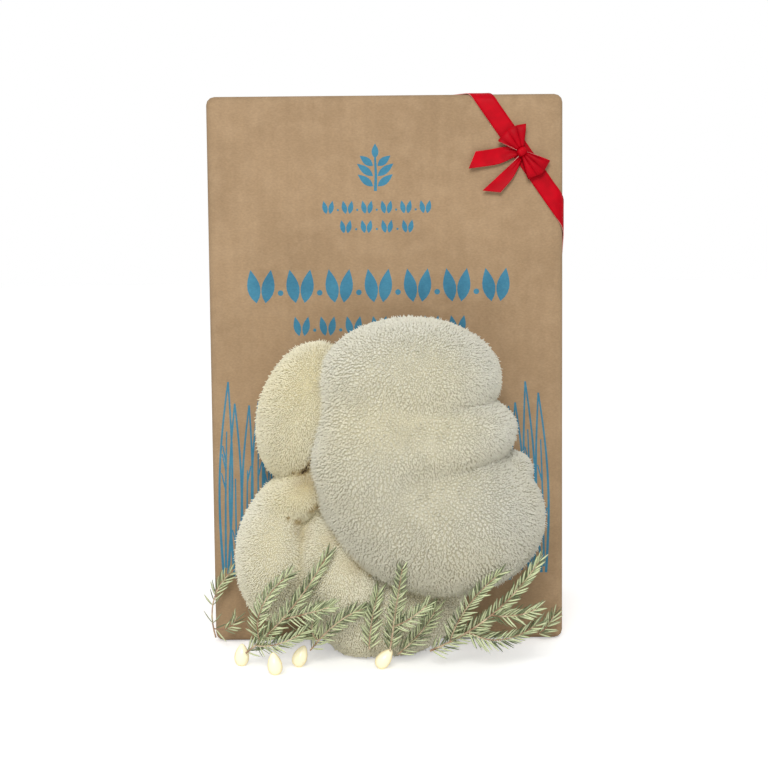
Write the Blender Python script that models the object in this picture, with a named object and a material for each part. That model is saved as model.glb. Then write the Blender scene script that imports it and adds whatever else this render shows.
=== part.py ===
"""Mushroom growing kit: a kraft carton with a lion's mane fruiting body, a ribbon bow and evergreen sprigs.

Modelled in metres with +Z up. X runs across the front, and the carton's front wall faces -Y. Every piece
is placed from the middle of the front wall's foot. At the end the whole kit is moved so that the origin
is the bottom centre of its box.
"""
import math
import random

import bmesh
import bpy
import numpy as np
from mathutils import Matrix, Vector
from mathutils.bvhtree import BVHTree

MM = 0.001
# Faces that touch on the real kit stay this far apart.
CONTACT_GAP = 0.3 * MM

# Carton
CARTON_WIDTH = 174 * MM
CARTON_HEIGHT = 270 * MM
CARTON_DEPTH = 120 * MM
BOARD = 3 * MM
FOLD_RADIUS = 4 * MM
FLAP_SEAM = 1 * MM
FLAP_LAYER_GAP = 0.5 * MM
FLAP_LAYER_REACH = 6 * MM
GLUE_LAP = 35 * MM
GLUE_SEAM = 0.8 * MM
GLUE_SEAM_INSET = 5.5 * MM

# Hole in the front wall
WINDOW_WIDTH = 76 * MM
WINDOW_HEIGHT = 84 * MM
WINDOW_CORNER = 30 * MM
WINDOW_CENTRE_HEIGHT = 95 * MM

# Grow bag and substrate block
FILM = 0.4 * MM
BLOCK_HEIGHT = 200 * MM
BLOCK_CORNER = 8 * MM
BAG_FOLD_THICKNESS = 5 * MM
BAG_FOLD_INSET = 14 * MM

# Fruiting body
NECK_CLEARANCE = 0.5 * MM
NECK_ROOT = 14 * MM
SPINE_LENGTH = 4.5 * MM
SPINE_FREE_DEPTH = 2 * MM
FUNGUS_VOXEL = 3.5 * MM
FUNGUS_TRIANGLES = 1400

# Ribbon
RIBBON_WIDTH = 9 * MM
RIBBON_THICKNESS = 0.4 * MM
RIBBON_TOP_CROSSING = 47 * MM
RIBBON_SIDE_DROP = 57.5 * MM
RIBBON_TOP_END = 34 * MM
RIBBON_SIDE_END = 28 * MM
KNOT_LENGTH = 4.4 * MM
KNOT_WIDTH = 5 * MM
KNOT_HEIGHT = 4 * MM
LOOP_LENGTH = 11.5 * MM
LOOP_RISE = 5 * MM
LOOP_MOUTH = 0.55 * MM
UPPER_LOOP_WIDTH = 15 * MM
LOWER_LOOP_WIDTH = 13 * MM
PLEAT_DEPTH = 0.6 * MM

# Sprigs
NEEDLE_LENGTH = 7 * MM
NEEDLE_SPACING = 3.7 * MM
NEEDLE_LEAN = math.radians(42)
NEEDLE_STEPS = 14
TWIG_TIP_RADIUS = 0.45 * MM

# Bulbs
BULB_DIAMETER = 7 * MM
BULB_HEIGHT = 10.6 * MM
BULB_FOOT = 1.4 * MM


def start_empty_scene():
    for thing in list(bpy.data.objects):
        bpy.data.objects.remove(thing)


def linear(channel):
    return channel / 12.92 if channel <= 0.04045 else ((channel + 0.055) / 1.055) ** 2.4


def finish(name, colour, roughness):
    material = bpy.data.materials.new(name)
    material.use_nodes = True
    shader = material.node_tree.nodes["Principled BSDF"]
    channels = [int(colour[i:i + 2], 16) / 255 for i in (1, 3, 5)]
    shader.inputs["Base Color"].default_value = [linear(value) for value in channels] + [1.0]
    shader.inputs["Roughness"].default_value = roughness
    shader.inputs["Metallic"].default_value = 0.0
    return material


def add_piece(name, mesh, material, smooth=False):
    """A named object on the kit's empty, shaded smooth between its sharp edges if asked."""
    mesh.materials.clear()
    mesh.materials.append(material)
    if smooth:
        mesh.shade_smooth()
        mesh.set_sharp_from_angle(angle=math.radians(35))
    piece = bpy.data.objects.new(name, mesh)
    bpy.context.scene.collection.objects.link(piece)
    piece.parent = kit
    return piece


def mesh_from(shape, name, turn_out=True):
    """The shape as a mesh, with its faces turned outwards unless they already are."""
    if turn_out:
        bmesh.ops.recalc_face_normals(shape, faces=shape.faces[:])
    mesh = bpy.data.meshes.new(name)
    shape.to_mesh(mesh)
    shape.free()
    return mesh


def box_shape(low, high, bevel=0.0, segments=3):
    """A box between two corners, with all its edges rounded if asked."""
    shape = bmesh.new()
    bmesh.ops.create_cube(shape, size=1.0)
    size = Vector(high) - Vector(low)
    bmesh.ops.scale(shape, vec=size, verts=shape.verts[:])
    bmesh.ops.translate(shape, vec=(Vector(high) + Vector(low)) / 2, verts=shape.verts[:])
    if bevel > 0:
        bmesh.ops.bevel(shape, geom=shape.edges[:], offset=bevel, segments=segments,
                        profile=0.5, affect="EDGES")
    return shape


def prism_shape(outline, start, end):
    """An outline in the XZ plane, run along Y from start to end."""
    shape = bmesh.new()
    face = shape.faces.new([shape.verts.new((x, start, z)) for x, z in outline])
    run = bmesh.ops.extrude_face_region(shape, geom=[face])
    moved = [item for item in run["geom"] if isinstance(item, bmesh.types.BMVert)]
    bmesh.ops.translate(shape, vec=(0, end - start, 0), verts=moved)
    return shape


def window_outline(shrink=0.0):
    """The rounded rectangle of the hole in the front wall, made smaller all round by shrink."""
    half_width = WINDOW_WIDTH / 2 - shrink
    half_height = WINDOW_HEIGHT / 2 - shrink
    radius = WINDOW_CORNER - shrink
    steps = 5
    points = []
    for corner in range(4):
        side_x = 1 if corner in (0, 3) else -1
        side_z = 1 if corner in (0, 1) else -1
        for step in range(steps + 1):
            angle = math.radians(90) * (corner + step / steps)
            x = side_x * (half_width - radius) + radius * math.cos(angle)
            z = side_z * (half_height - radius) + radius * math.sin(angle)
            points.append((x, WINDOW_CENTRE_HEIGHT + z))
    return points


def add_boolean(piece, shape, operation="DIFFERENCE"):
    """Cuts or joins a shape with a piece by a Boolean whose second object stays hidden."""
    name = f"{piece.name}_{operation.lower()}_{len(piece.modifiers) + 1}"
    tool = bpy.data.objects.new(name, mesh_from(shape, name))
    bpy.context.scene.collection.objects.link(tool)
    tool.parent = kit
    tool.hide_render = True
    tool.display_type = "WIRE"
    modifier = piece.modifiers.new(name, "BOOLEAN")
    modifier.operation = operation
    modifier.solver = "EXACT"
    modifier.object = tool


def evaluated_mesh(piece):
    graph = bpy.context.evaluated_depsgraph_get()
    return bpy.data.meshes.new_from_object(piece.evaluated_get(graph))


# Carton

def carton_hollow():
    """The room inside the walls, less the glue lap along the rear right corner."""
    side = CARTON_WIDTH / 2 - BOARD
    back = CARTON_DEPTH - BOARD
    outline = [(-side, BOARD), (side, BOARD), (side, back - BOARD), (side - GLUE_LAP, back - BOARD),
               (side - GLUE_LAP, back), (-side, back)]
    shape = bmesh.new()
    floor = 2 * BOARD
    face = shape.faces.new([shape.verts.new((x, y, floor)) for x, y in outline])
    run = bmesh.ops.extrude_face_region(shape, geom=[face])
    moved = [item for item in run["geom"] if isinstance(item, bmesh.types.BMVert)]
    bmesh.ops.translate(shape, vec=(0, 0, CARTON_HEIGHT - 4 * BOARD), verts=moved)
    return shape


def make_carton(board):
    """One folded blank: walls, outer flaps that meet in the middle, and inner flaps glued under them."""
    beyond = 2 * MM
    half = CARTON_WIDTH / 2
    blank = box_shape((-half, 0, 0), (half, CARTON_DEPTH, CARTON_HEIGHT), FOLD_RADIUS)
    carton = add_piece("carton", mesh_from(blank, "carton"), board, smooth=True)
    add_boolean(carton, carton_hollow())
    inner_flap = (CARTON_DEPTH - FLAP_SEAM) / 2
    between = half - inner_flap
    add_boolean(carton, box_shape((-between, BOARD, BOARD),
                                  (between, CARTON_DEPTH - BOARD, CARTON_HEIGHT - BOARD)))
    seam_front = inner_flap
    seam_back = CARTON_DEPTH - inner_flap
    for low, high in ((-beyond, BOARD), (CARTON_HEIGHT - BOARD, CARTON_HEIGHT + beyond)):
        add_boolean(carton, box_shape((-half - beyond, seam_front, low), (half + beyond, seam_back, high)))
    for layer in (BOARD, CARTON_HEIGHT - BOARD):
        for side in (-1, 1):
            reach = sorted((side * (half - FLAP_LAYER_REACH), side * (half + beyond)))
            add_boolean(carton, box_shape((reach[0], FOLD_RADIUS, layer - FLAP_LAYER_GAP / 2),
                                          (reach[1], CARTON_DEPTH - FOLD_RADIUS, layer + FLAP_LAYER_GAP / 2)))
    glue_edge = half - GLUE_SEAM_INSET
    add_boolean(carton, box_shape((glue_edge - GLUE_SEAM, CARTON_DEPTH - BOARD, 2 * BOARD),
                                  (glue_edge, CARTON_DEPTH + beyond, CARTON_HEIGHT - 2 * BOARD)))
    add_boolean(carton, prism_shape(window_outline(), -beyond, BOARD + beyond))
    return carton


# Grow bag and substrate block

def block_shape(grow):
    """The substrate block's rounded box, made larger all round by grow."""
    clear = CONTACT_GAP + FILM + CONTACT_GAP
    half = CARTON_WIDTH / 2 - BOARD - clear + grow
    front = BOARD + clear - grow
    back = CARTON_DEPTH - 2 * BOARD - clear + grow
    bottom = 2 * BOARD + clear - grow
    top = 2 * BOARD + clear + BLOCK_HEIGHT + grow
    return box_shape((-half, front, bottom), (half, back, top), BLOCK_CORNER + grow)


def make_block_and_bag(sawdust, film):
    add_piece("substrate_block", mesh_from(block_shape(0.0), "substrate_block"), sawdust, smooth=True)
    bag_mesh = mesh_from(block_shape(CONTACT_GAP + FILM), "grow_bag")
    bag = add_piece("grow_bag", bag_mesh, film, smooth=True)
    top = max(vertex.co.z for vertex in bag_mesh.vertices)
    half = CARTON_WIDTH / 2 - BAG_FOLD_INSET
    folded = box_shape((-half, BAG_FOLD_INSET, top - FILM / 2),
                       (half, CARTON_DEPTH - BAG_FOLD_INSET, top + BAG_FOLD_THICKNESS))
    add_boolean(bag, folded, "UNION")
    add_boolean(bag, block_shape(CONTACT_GAP))
    cut = window_outline(NECK_CLEARANCE - CONTACT_GAP)
    add_boolean(bag, prism_shape(cut, BOARD, BOARD + BLOCK_CORNER))


# Fruiting body

# Each lobe: its centre, its three radii and its lean to the right, in millimetres and degrees.
LOBES = {
    "upper": ((11, -38, 135), (43, 42, 29), 0),
    "middle": ((15.5, -42, 105), (46, 44, 23), -11),
    "lower": ((26, -42, 70), (48, 48, 37), 0),
    "middle_left": ((-6, -38, 96), (29, 42, 45), 0),
    "upper_left": ((-39, -22, 118), (23, 30, 35), 18),
    "waist_left": ((-41, -24, 79), (20, 27, 13), -22),
    "low_left": ((-54, -24, 48), (20, 30, 32), 0),
    "low_centre": ((-2, -23, 30), (39, 30, 32), 0),
    "low_shoulder": ((-24, -26, 46), (24, 32, 30), 0),
    "low_tip": ((-15, -24, 9), (7, 12, 7), 0),
    "right_bud": ((57.2, -38, 91), (11.5, 18, 10), 0),
}
MAIN_MASS = ("upper", "middle", "lower", "middle_left", "right_bud")
# The other groups of lobes, each with how softly its own lobes join, in millimetres.
OTHER_GROUPS = (
    (("upper_left",), 4.0),
    (("waist_left", "low_left"), 10.0),
    (("low_centre", "low_shoulder", "low_tip"), 14.0),
)
# The flesh lies this far under the reach of the spines that the lobes' radii give, in millimetres.
FLESH_DEPTH = 3.0
# The main mass's lobes run into each other softly on its left and meet in creases on its right.
CREASE_BLEND_LEFT = 13.0
CREASE_BLEND_RIGHT = 5.0
CREASE_LEFT = -12
CREASE_RIGHT = 40
GROUP_BLEND = 4.0


def lobe_distance(points, centre, radii, lean):
    """About how far each point, in millimetres, lies outside one lobe."""
    turn = math.radians(lean)
    offset = points - np.array(centre)
    across = offset[:, 0] * math.cos(turn) - offset[:, 2] * math.sin(turn)
    along = offset[:, 0] * math.sin(turn) + offset[:, 2] * math.cos(turn)
    local = np.column_stack((across, offset[:, 1], along)) / np.array(radii)
    size = np.linalg.norm(local, axis=1)
    slope = np.linalg.norm(local / np.array(radii), axis=1)
    return size * (size - 1) / np.maximum(slope, 1e-9)


def join_softly(first, second, blend):
    """The distance to two forms whose crease is filled over the blend's width."""
    overlap = np.maximum(blend - np.abs(first - second), 0) / blend
    return np.minimum(first, second) - overlap * overlap * blend / 4


def group_distance(points, names, blend):
    """About how far each point lies outside some lobes that are joined softly."""
    joined = None
    for name in names:
        distance = lobe_distance(points, *LOBES[name])
        joined = distance if joined is None else join_softly(joined, distance, blend)
    return joined


def fungus_field(points):
    """How far each point lies outside the joined lobes' flesh."""
    share = np.clip((points[:, 0] - CREASE_LEFT) / (CREASE_RIGHT - CREASE_LEFT), 0, 1)
    joined = group_distance(points, MAIN_MASS,
                            CREASE_BLEND_LEFT + (CREASE_BLEND_RIGHT - CREASE_BLEND_LEFT) * share)
    for names, blend in OTHER_GROUPS:
        joined = join_softly(joined, group_distance(points, names, blend), GROUP_BLEND)
    return joined + FLESH_DEPTH


def settle_on_field(mesh):
    """Moves each vertex to where the joined lobes' surface runs."""
    points = np.array([vertex.co[:] for vertex in mesh.vertices]) / MM
    step = 0.2
    for _ in range(6):
        value = fungus_field(points)
        slope = np.column_stack([(fungus_field(points + step * axis) - value) / step
                                 for axis in np.eye(3)])
        steepness = np.maximum((slope ** 2).sum(axis=1), 0.05)
        points -= 0.8 * (value / steepness)[:, None] * slope
    for vertex, point in zip(mesh.vertices, points):
        vertex.co = Vector(point) * MM


def outer_shell(mesh):
    """The mesh without any hollow that the lobes enclose between them."""
    shape = bmesh.new()
    shape.from_mesh(mesh)
    waiting = set(shape.verts)
    largest = set()
    while waiting:
        shell = {waiting.pop()}
        edge_of_shell = list(shell)
        while edge_of_shell:
            vertex = edge_of_shell.pop()
            for edge in vertex.link_edges:
                neighbour = edge.other_vert(vertex)
                if neighbour in waiting:
                    waiting.remove(neighbour)
                    shell.add(neighbour)
                    edge_of_shell.append(neighbour)
        largest = max(largest, shell, key=len)
    bmesh.ops.delete(shape, geom=[vertex for vertex in shape.verts if vertex not in largest], context="VERTS")
    shape.to_mesh(mesh)
    shape.free()
    return mesh


def lobes_mesh(flesh):
    """The lobes as one closed skin."""
    shape = bmesh.new()
    for centre, radii, lean in LOBES.values():
        place = Matrix.Translation(Vector(centre) * MM)
        turn = Matrix.Rotation(math.radians(lean), 4, "Y")
        size = Matrix.Diagonal((*(Vector(radii) * MM), 1.0))
        bmesh.ops.create_icosphere(shape, subdivisions=4, radius=1.0, matrix=place @ turn @ size)
    skin = add_piece("lobes", mesh_from(shape, "lobes"), flesh)
    remesh = skin.modifiers.new("one_skin", "REMESH")
    remesh.mode = "VOXEL"
    remesh.voxel_size = FUNGUS_VOXEL
    mesh = evaluated_mesh(skin)
    settle_on_field(mesh)
    skin.modifiers.clear()
    skin.data = mesh
    coarse = skin.modifiers.new("coarse", "DECIMATE")
    triangles = sum(len(face.vertices) - 2 for face in mesh.polygons)
    coarse.ratio = FUNGUS_TRIANGLES / triangles
    mesh = evaluated_mesh(skin)
    bpy.data.objects.remove(skin)
    return mesh


def grow_spines(mesh, rng):
    """Draws each face that is open to the air out to a hanging spine."""
    shape = bmesh.new()
    shape.from_mesh(mesh)
    bmesh.ops.triangulate(shape, faces=shape.faces[:])
    bare = BVHTree.FromBMesh(shape)
    open_faces = [face for face in shape.faces
                  if max(vertex.co.y for vertex in face.verts) < -SPINE_FREE_DEPTH]
    tips = []
    for face in open_faces:
        centre = face.calc_center_median()
        drop = Vector((rng.uniform(-0.2, 0.2), rng.uniform(-0.2, 0.2), -0.55))
        direction = (face.normal + drop).normalized()
        if direction.dot(face.normal) < 0.4:
            direction = (face.normal + direction).normalized()
        length = SPINE_LENGTH * rng.uniform(0.75, 1.1)
        hit = bare.ray_cast(centre + 0.05 * MM * direction, direction, 4 * length)
        if hit[0] is not None:
            length = min(length, 0.3 * hit[3])
        tip = centre + length * direction
        tip.y = min(tip.y, -2 * CONTACT_GAP)
        tips.append(tip)
    poked = bmesh.ops.poke(shape, faces=open_faces)
    for vertex, tip in zip(poked["verts"], tips):
        vertex.co = tip
    for vertex in shape.verts:
        vertex.co.z = max(vertex.co.z, CONTACT_GAP)
    return mesh_from(shape, "fruiting_body", turn_out=False)


def make_fruiting_body(flesh, rng):
    """Cuts the lobes flat against the front wall, adds the neck through the hole, then the spines."""
    body = add_piece("fruiting_body", lobes_mesh(flesh), flesh)
    far = CARTON_WIDTH
    add_boolean(body, box_shape((-far, -CONTACT_GAP, -far), (far, far, 2 * far)))
    neck_end = BOARD + CONTACT_GAP + FILM
    add_boolean(body, prism_shape(window_outline(NECK_CLEARANCE), -NECK_ROOT, neck_end), "UNION")
    bare = outer_shell(evaluated_mesh(body))
    body.modifiers.clear()
    body.data = grow_spines(bare, rng)
    body.data.materials.append(flesh)
    return body


# Ribbon and bow

# Each tail: pairs of edge points from the knot to the end, as places to the right of the knot and above it,
# and the height of each pair off the band, in millimetres.
TAILS = {
    "bow_tail_left": [((-1.0, 1.4), (-1.2, -1.2), 0.0), ((-8.0, 2.5), (-4.5, -3.0), 0.4),
                      ((-15, 1.4), (-12, -6.0), 0.8), ((-22.5, 0.4), (-26, -8.0), 2.0)],
    "bow_tail_lower": [((-1.2, -1.8), (0.8, -2.2), 0.0), ((-5.5, -6.0), (-1.8, -8.0), 0.5),
                       ((-12.0, -12.0), (-5.0, -13.5), 1.0), ((-19.3, -18.6), (-10.5, -19.6), 1.8)],
}


def on_carton(across, up, height):
    """The point at a height above the skin of the front, folded over to the top or the right side."""
    point = Vector((across, -height, up))
    fold_across = CARTON_WIDTH / 2 - FOLD_RADIUS
    fold_up = CARTON_HEIGHT - FOLD_RADIUS
    quarter = FOLD_RADIUS * math.pi / 2
    if up > fold_up:
        turn = min(up - fold_up, quarter)
        angle = turn / FOLD_RADIUS
        point.y = FOLD_RADIUS - (FOLD_RADIUS + height) * math.cos(angle) + (up - fold_up - turn)
        point.z = fold_up + (FOLD_RADIUS + height) * math.sin(angle)
    elif across > fold_across:
        turn = min(across - fold_across, quarter)
        angle = turn / FOLD_RADIUS
        point.y = FOLD_RADIUS - (FOLD_RADIUS + height) * math.cos(angle) + (across - fold_across - turn)
        point.x = fold_across + (FOLD_RADIUS + height) * math.sin(angle)
    return point


def sheet_mesh(name, rows):
    """Rows of points across a strip, joined to a sheet."""
    shape = bmesh.new()
    grid = [[shape.verts.new(point) for point in row] for row in rows]
    for near, far in zip(grid, grid[1:]):
        for i in range(len(near) - 1):
            shape.faces.new((near[i], near[i + 1], far[i + 1], far[i]))
    return mesh_from(shape, name)


def add_strip(name, rows, material):
    """A strip of ribbon with its real thickness about the rows."""
    strip = add_piece(name, sheet_mesh(name, rows), material, smooth=True)
    solid = strip.modifiers.new("thickness", "SOLIDIFY")
    solid.thickness = RIBBON_THICKNESS
    solid.offset = 0.0
    solid.use_even_offset = True
    return strip


def make_band(satin):
    """The band across the corner, with rows along the folds that it crosses."""
    start = Vector((RIBBON_TOP_CROSSING, CARTON_HEIGHT))
    end = Vector((CARTON_WIDTH / 2, CARTON_HEIGHT - RIBBON_SIDE_DROP))
    along = (end - start).normalized()
    beside = Vector((-along.y, along.x)) * RIBBON_WIDTH / 2
    quarter = FOLD_RADIUS * math.pi / 2
    fold_steps = 4
    fold_up = CARTON_HEIGHT - FOLD_RADIUS
    fold_across = CARTON_WIDTH / 2 - FOLD_RADIUS
    levels = [fold_up + quarter + RIBBON_TOP_END]
    levels += [fold_up + quarter * (1 - step / fold_steps) for step in range(fold_steps + 1)]
    columns = [fold_across + quarter * step / fold_steps for step in range(fold_steps + 1)]
    columns.append(fold_across + quarter + RIBBON_SIDE_END)
    height = CONTACT_GAP + RIBBON_THICKNESS / 2
    rows = []
    for level in levels:
        row = []
        for edge in (start - beside, start + beside):
            reach = (level - edge.y) / along.y
            row.append(on_carton(edge.x + reach * along.x, level, height))
        rows.append(row)
    for column in columns:
        row = []
        for edge in (start - beside, start + beside):
            reach = (column - edge.x) / along.x
            row.append(on_carton(column, edge.y + reach * along.y, height))
        rows.append(row)
    add_strip("ribbon", rows, satin)
    return start, end, along


def face_point(centre, right, up, height):
    """A point of the bow, placed from its knot, at a height above the front wall."""
    return Vector((centre.x + right, -height, centre.y + up))


def make_loop(name, knot, heading, end_width, satin):
    """A loop that leaves the knot gathered in pleats, opens like a fan and folds back above itself."""
    along = Vector((math.cos(heading), math.sin(heading)))
    beside = Vector((-along.y, along.x))
    root = KNOT_LENGTH / 2 + CONTACT_GAP + RIBBON_THICKNESS
    base_height = 2 * CONTACT_GAP + 2 * RIBBON_THICKNESS + KNOT_HEIGHT / 2
    gathered = KNOT_WIDTH * 0.8
    rows = []
    steps = 12
    columns = 7
    for step in range(steps + 1):
        share = step / steps
        out = math.sin(math.pi * share) ** 0.8 if 0 < share < 1 else 0.0
        reach = root + (LOOP_LENGTH - root) * out
        opening = LOOP_MOUTH + (LOOP_RISE / 2 - LOOP_MOUTH) * out ** 0.7
        height = base_height + LOOP_RISE * 0.12 * out - opening * math.cos(math.pi * share)
        width = gathered + (end_width - gathered) * out ** 0.9
        row = []
        for column in range(columns):
            place = column / (columns - 1) - 0.5
            pleat = PLEAT_DEPTH * (0.35 + 0.65 * (1 - out)) * math.cos(math.pi * (columns - 1) * place)
            right = along.x * reach + beside.x * width * place
            up = along.y * reach + beside.y * width * place
            row.append(face_point(knot, right, up, height + pleat * (1 - 0.6 * out)))
        rows.append(row)
    return add_strip(name, rows, satin)


def make_tail(name, knot, edges, satin):
    """A loose end of the ribbon: pairs of edge points out from the knot, each with its height."""
    rows = []
    for left, right, height in edges:
        level = 2 * CONTACT_GAP + 1.5 * RIBBON_THICKNESS + height * MM
        row = [face_point(knot, x * MM, z * MM, level) for x, z in (left, right)]
        rows.append(row)
    return add_strip(name, rows, satin)


def make_knot(knot, heading, satin):
    height = 2 * CONTACT_GAP + 2 * RIBBON_THICKNESS + CONTACT_GAP
    low = Vector((-KNOT_LENGTH / 2, -KNOT_HEIGHT, -KNOT_WIDTH / 2))
    high = Vector((KNOT_LENGTH / 2, 0, KNOT_WIDTH / 2))
    shape = box_shape(low, high, 1.3 * MM, 2)
    turn = Matrix.Rotation(-heading, 4, "Y")
    place = Matrix.Translation((knot.x, -height, knot.y))
    bmesh.ops.transform(shape, matrix=place @ turn, verts=shape.verts[:])
    return add_piece("bow_knot", mesh_from(shape, "bow_knot"), satin, smooth=True)


def make_ribbon_and_bow(satin):
    start, end, along = make_band(satin)
    knot = start + (end - start) * 0.49
    band_heading = math.atan2(along.y, along.x)
    make_knot(knot, band_heading, satin)
    make_loop("bow_loop_upper", knot, math.radians(118), UPPER_LOOP_WIDTH, satin)
    make_loop("bow_loop_lower", knot, math.radians(-47), LOWER_LOOP_WIDTH, satin)
    for name, edges in TAILS.items():
        make_tail(name, knot, edges, satin)


# Bulbs

# Each bulb: where it stands and how it leans to the right and to the back, in millimetres and degrees.
BULBS = [((-70.1, -45.4), 3, 0), ((-52.5, -62.2), -8, 0), ((-43.8, -49), 22, 0), ((-5.5, -54), 38, 0)]


def bulb_shape():
    """A drop turned about its upright axis, on a small flat foot."""
    rings = 8
    sides = 12
    shape = bmesh.new()
    profile = []
    for ring in range(rings + 1):
        share = ring / rings
        swell = (share + 0.04) ** 0.5 * (1.02 - share) ** 0.8
        profile.append((swell, share * BULB_HEIGHT))
    widest = max(radius for radius, _ in profile)
    profile = [(radius / widest * BULB_DIAMETER / 2, height) for radius, height in profile]
    profile[0] = (BULB_FOOT, 0.0)
    loops = []
    for radius, height in profile[:-1]:
        loops.append([shape.verts.new((radius * math.cos(2 * math.pi * i / sides),
                                       radius * math.sin(2 * math.pi * i / sides), height))
                      for i in range(sides)])
    tip = shape.verts.new((0, 0, BULB_HEIGHT))
    for low, high in zip(loops, loops[1:]):
        for i in range(sides):
            j = (i + 1) % sides
            shape.faces.new((low[i], low[j], high[j], high[i]))
    for i in range(sides):
        shape.faces.new((loops[-1][i], loops[-1][(i + 1) % sides], tip))
    shape.faces.new(loops[0][::-1])
    return shape


def make_bulbs(glass):
    bulbs = []
    for number, ((x, y), right, back) in enumerate(BULBS, 1):
        shape = bulb_shape()
        turn = Matrix.Rotation(math.radians(right), 4, "Y") @ Matrix.Rotation(math.radians(-back), 4, "X")
        bmesh.ops.transform(shape, matrix=turn, verts=shape.verts[:])
        lowest = min(vertex.co.z for vertex in shape.verts)
        bmesh.ops.translate(shape, vec=(x * MM, y * MM, -lowest), verts=shape.verts[:])
        name = f"light_bulb_{number}"
        bulbs.append(add_piece(name, mesh_from(shape, name), glass, smooth=True))
    return bulbs


# Sprigs

# The carton's lower corners, where two of the sprigs lie, in millimetres.
LEFT_CORNER = -CARTON_WIDTH / 2 / MM
RIGHT_CORNER = CARTON_WIDTH / 2 / MM
# Each stem: three points of its curve from the foot to the tip, and its radius at the foot, in millimetres.
STEMS = {
    "sprig_left": ([(-67.5, -49, 7), (-46, -56.8, 29), (-28, -60, 56)], 1.1),
    "sprig_middle": ([(-37.2, -49, 8), (-24, -57, 23), (-12, -56.2, 29)], 0.9),
    "sprig_small": ([(-9.5, -53, 9), (-8, -56.4, 24), (-5, -56.8, 37)], 0.8),
    "sprig_centre": ([(0.3, -56, 9.2), (3, -64, 30), (6, -80.8, 53)], 1.0),
    "sprig_low": ([(4, -50.2, 6), (15, -51.5, 17), (22, -51.4, 28)], 0.8),
    "sprig_right": ([(19, -52, 8), (47, -62, 27), (69, -64, 52.5)], 1.2),
    "sprig_edge": ([(LEFT_CORNER + 1, -7, 4), (LEFT_CORNER + 1, -8, 25), (LEFT_CORNER + 14, -10.2, 41)],
                   0.9),
    "sprig_corner": ([(RIGHT_CORNER - 13, -5, 4), (RIGHT_CORNER - 9, -5, 7), (RIGHT_CORNER - 5, -5, 13)],
                     0.7),
}
SHOOT_RADIUS = 0.7
# Each side shoot: its stem, how far along the stem it forks, and its middle and tip.
SHOOTS = {
    "sprig_left_shoot_1": ("sprig_left", 0.15, (-59, -60, 31), (-46, -62, 47)),
    "sprig_left_shoot_2": ("sprig_left", 0.42, (-36, -66, 30), (-27, -68, 33)),
    "sprig_left_shoot_3": ("sprig_left", 0.12, (-51.5, -61, 14.2), (-39.5, -61.7, 20)),
    "sprig_middle_shoot": ("sprig_middle", 0.15, (-36, -56, 20), (-33, -57, 30)),
    "sprig_centre_shoot": ("sprig_centre", 0.30, (10, -70, 28), (17, -71, 34)),
    "sprig_right_shoot_1": ("sprig_right", 0.15, (36, -69.5, 33), (50, -80, 50.5)),
    "sprig_right_shoot_2": ("sprig_right", 0.50, (58, -67, 28), (68, -66, 31)),
    "sprig_right_shoot_3": ("sprig_right", 0.28, (52, -60, 15), (69, -58, 22)),
    "sprig_edge_shoot": ("sprig_edge", 0.12, (LEFT_CORNER + 8, -11, 10), (LEFT_CORNER + 12, -12, 16)),
}


def curve_points(points, count):
    """Points at even steps along the smooth curve from the first to the last through the middle one."""
    first, middle, last = (Vector(point) * MM for point in points)
    control = 2 * middle - (first + last) / 2
    places = []
    for step in range(count + 1):
        share = step / count
        places.append((1 - share) ** 2 * first + 2 * share * (1 - share) * control + share ** 2 * last)
    return places


def twig_frames(places):
    """A heading and two cross directions at each point of a twig."""
    frames = []
    side = Vector((0, -1, 0))
    for i in range(len(places)):
        heading = (places[min(i + 1, len(places) - 1)] - places[max(i - 1, 0)]).normalized()
        side = (side - heading * side.dot(heading)).normalized()
        frames.append((heading, side, heading.cross(side)))
    return frames


class Twig:
    """One stem or side shoot: a square twig that tapers, with a needle on every side of every step."""

    def __init__(self, name, points, radius):
        self.name = name
        length = sum((Vector(b) - Vector(a)).length for a, b in zip(points, points[1:])) * MM
        self.steps = max(3, round(length / NEEDLE_SPACING))
        self.places = curve_points(points, self.steps)
        self.frames = twig_frames(self.places)
        foot = radius * MM
        self.radii = [foot + (TWIG_TIP_RADIUS - foot) * i / self.steps for i in range(self.steps + 1)]

    def fork(self, share, towards):
        """The place at a share of the length where a side shoot starts just clear of this twig."""
        index = round(share * self.steps)
        here = self.places[index]
        away = (towards - here).normalized()
        heading = self.frames[index][0]
        sine = max(math.sin(away.angle(heading)), 0.35)
        thickness = self.radii[index] * math.sqrt(2)
        return here + away * (thickness + CONTACT_GAP + thickness * 0.6) / sine

    def rings(self, shape):
        """The four corners round the twig at each step."""
        loops = []
        for place, (_, side, other), radius in zip(self.places, self.frames, self.radii):
            corners = [side + other, other - side, -side - other, side - other]
            loops.append([shape.verts.new(place + corner * radius) for corner in corners])
        return loops

    def bare_shape(self):
        shape = bmesh.new()
        loops = self.rings(shape)
        quads = []
        for low, high in zip(loops, loops[1:]):
            for i in range(4):
                j = (i + 1) % 4
                quads.append(shape.faces.new((low[i], low[j], high[j], high[i])))
        shape.faces.new(loops[0][::-1])
        shape.faces.new(loops[-1])
        bmesh.ops.recalc_face_normals(shape, faces=shape.faces[:])
        return shape, quads


def needle_reach(base, direction, length, obstacles):
    """The longest needle, in even steps, that keeps clear of all it might touch and of the ground."""
    for part in (step / NEEDLE_STEPS for step in range(NEEDLE_STEPS, 0, -1)):
        clear = True
        for sample in (0.3, 0.55, 0.8, 1.0):
            point = base + direction * length * part * sample
            room = 2 * CONTACT_GAP + 0.5 * MM * (1 - sample)
            if point.z < CONTACT_GAP:
                clear = False
            for obstacle in obstacles:
                near = obstacle.find_nearest(point, room)
                clear = clear and near[0] is None
        if clear:
            return length * part
    return 0.0


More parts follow.
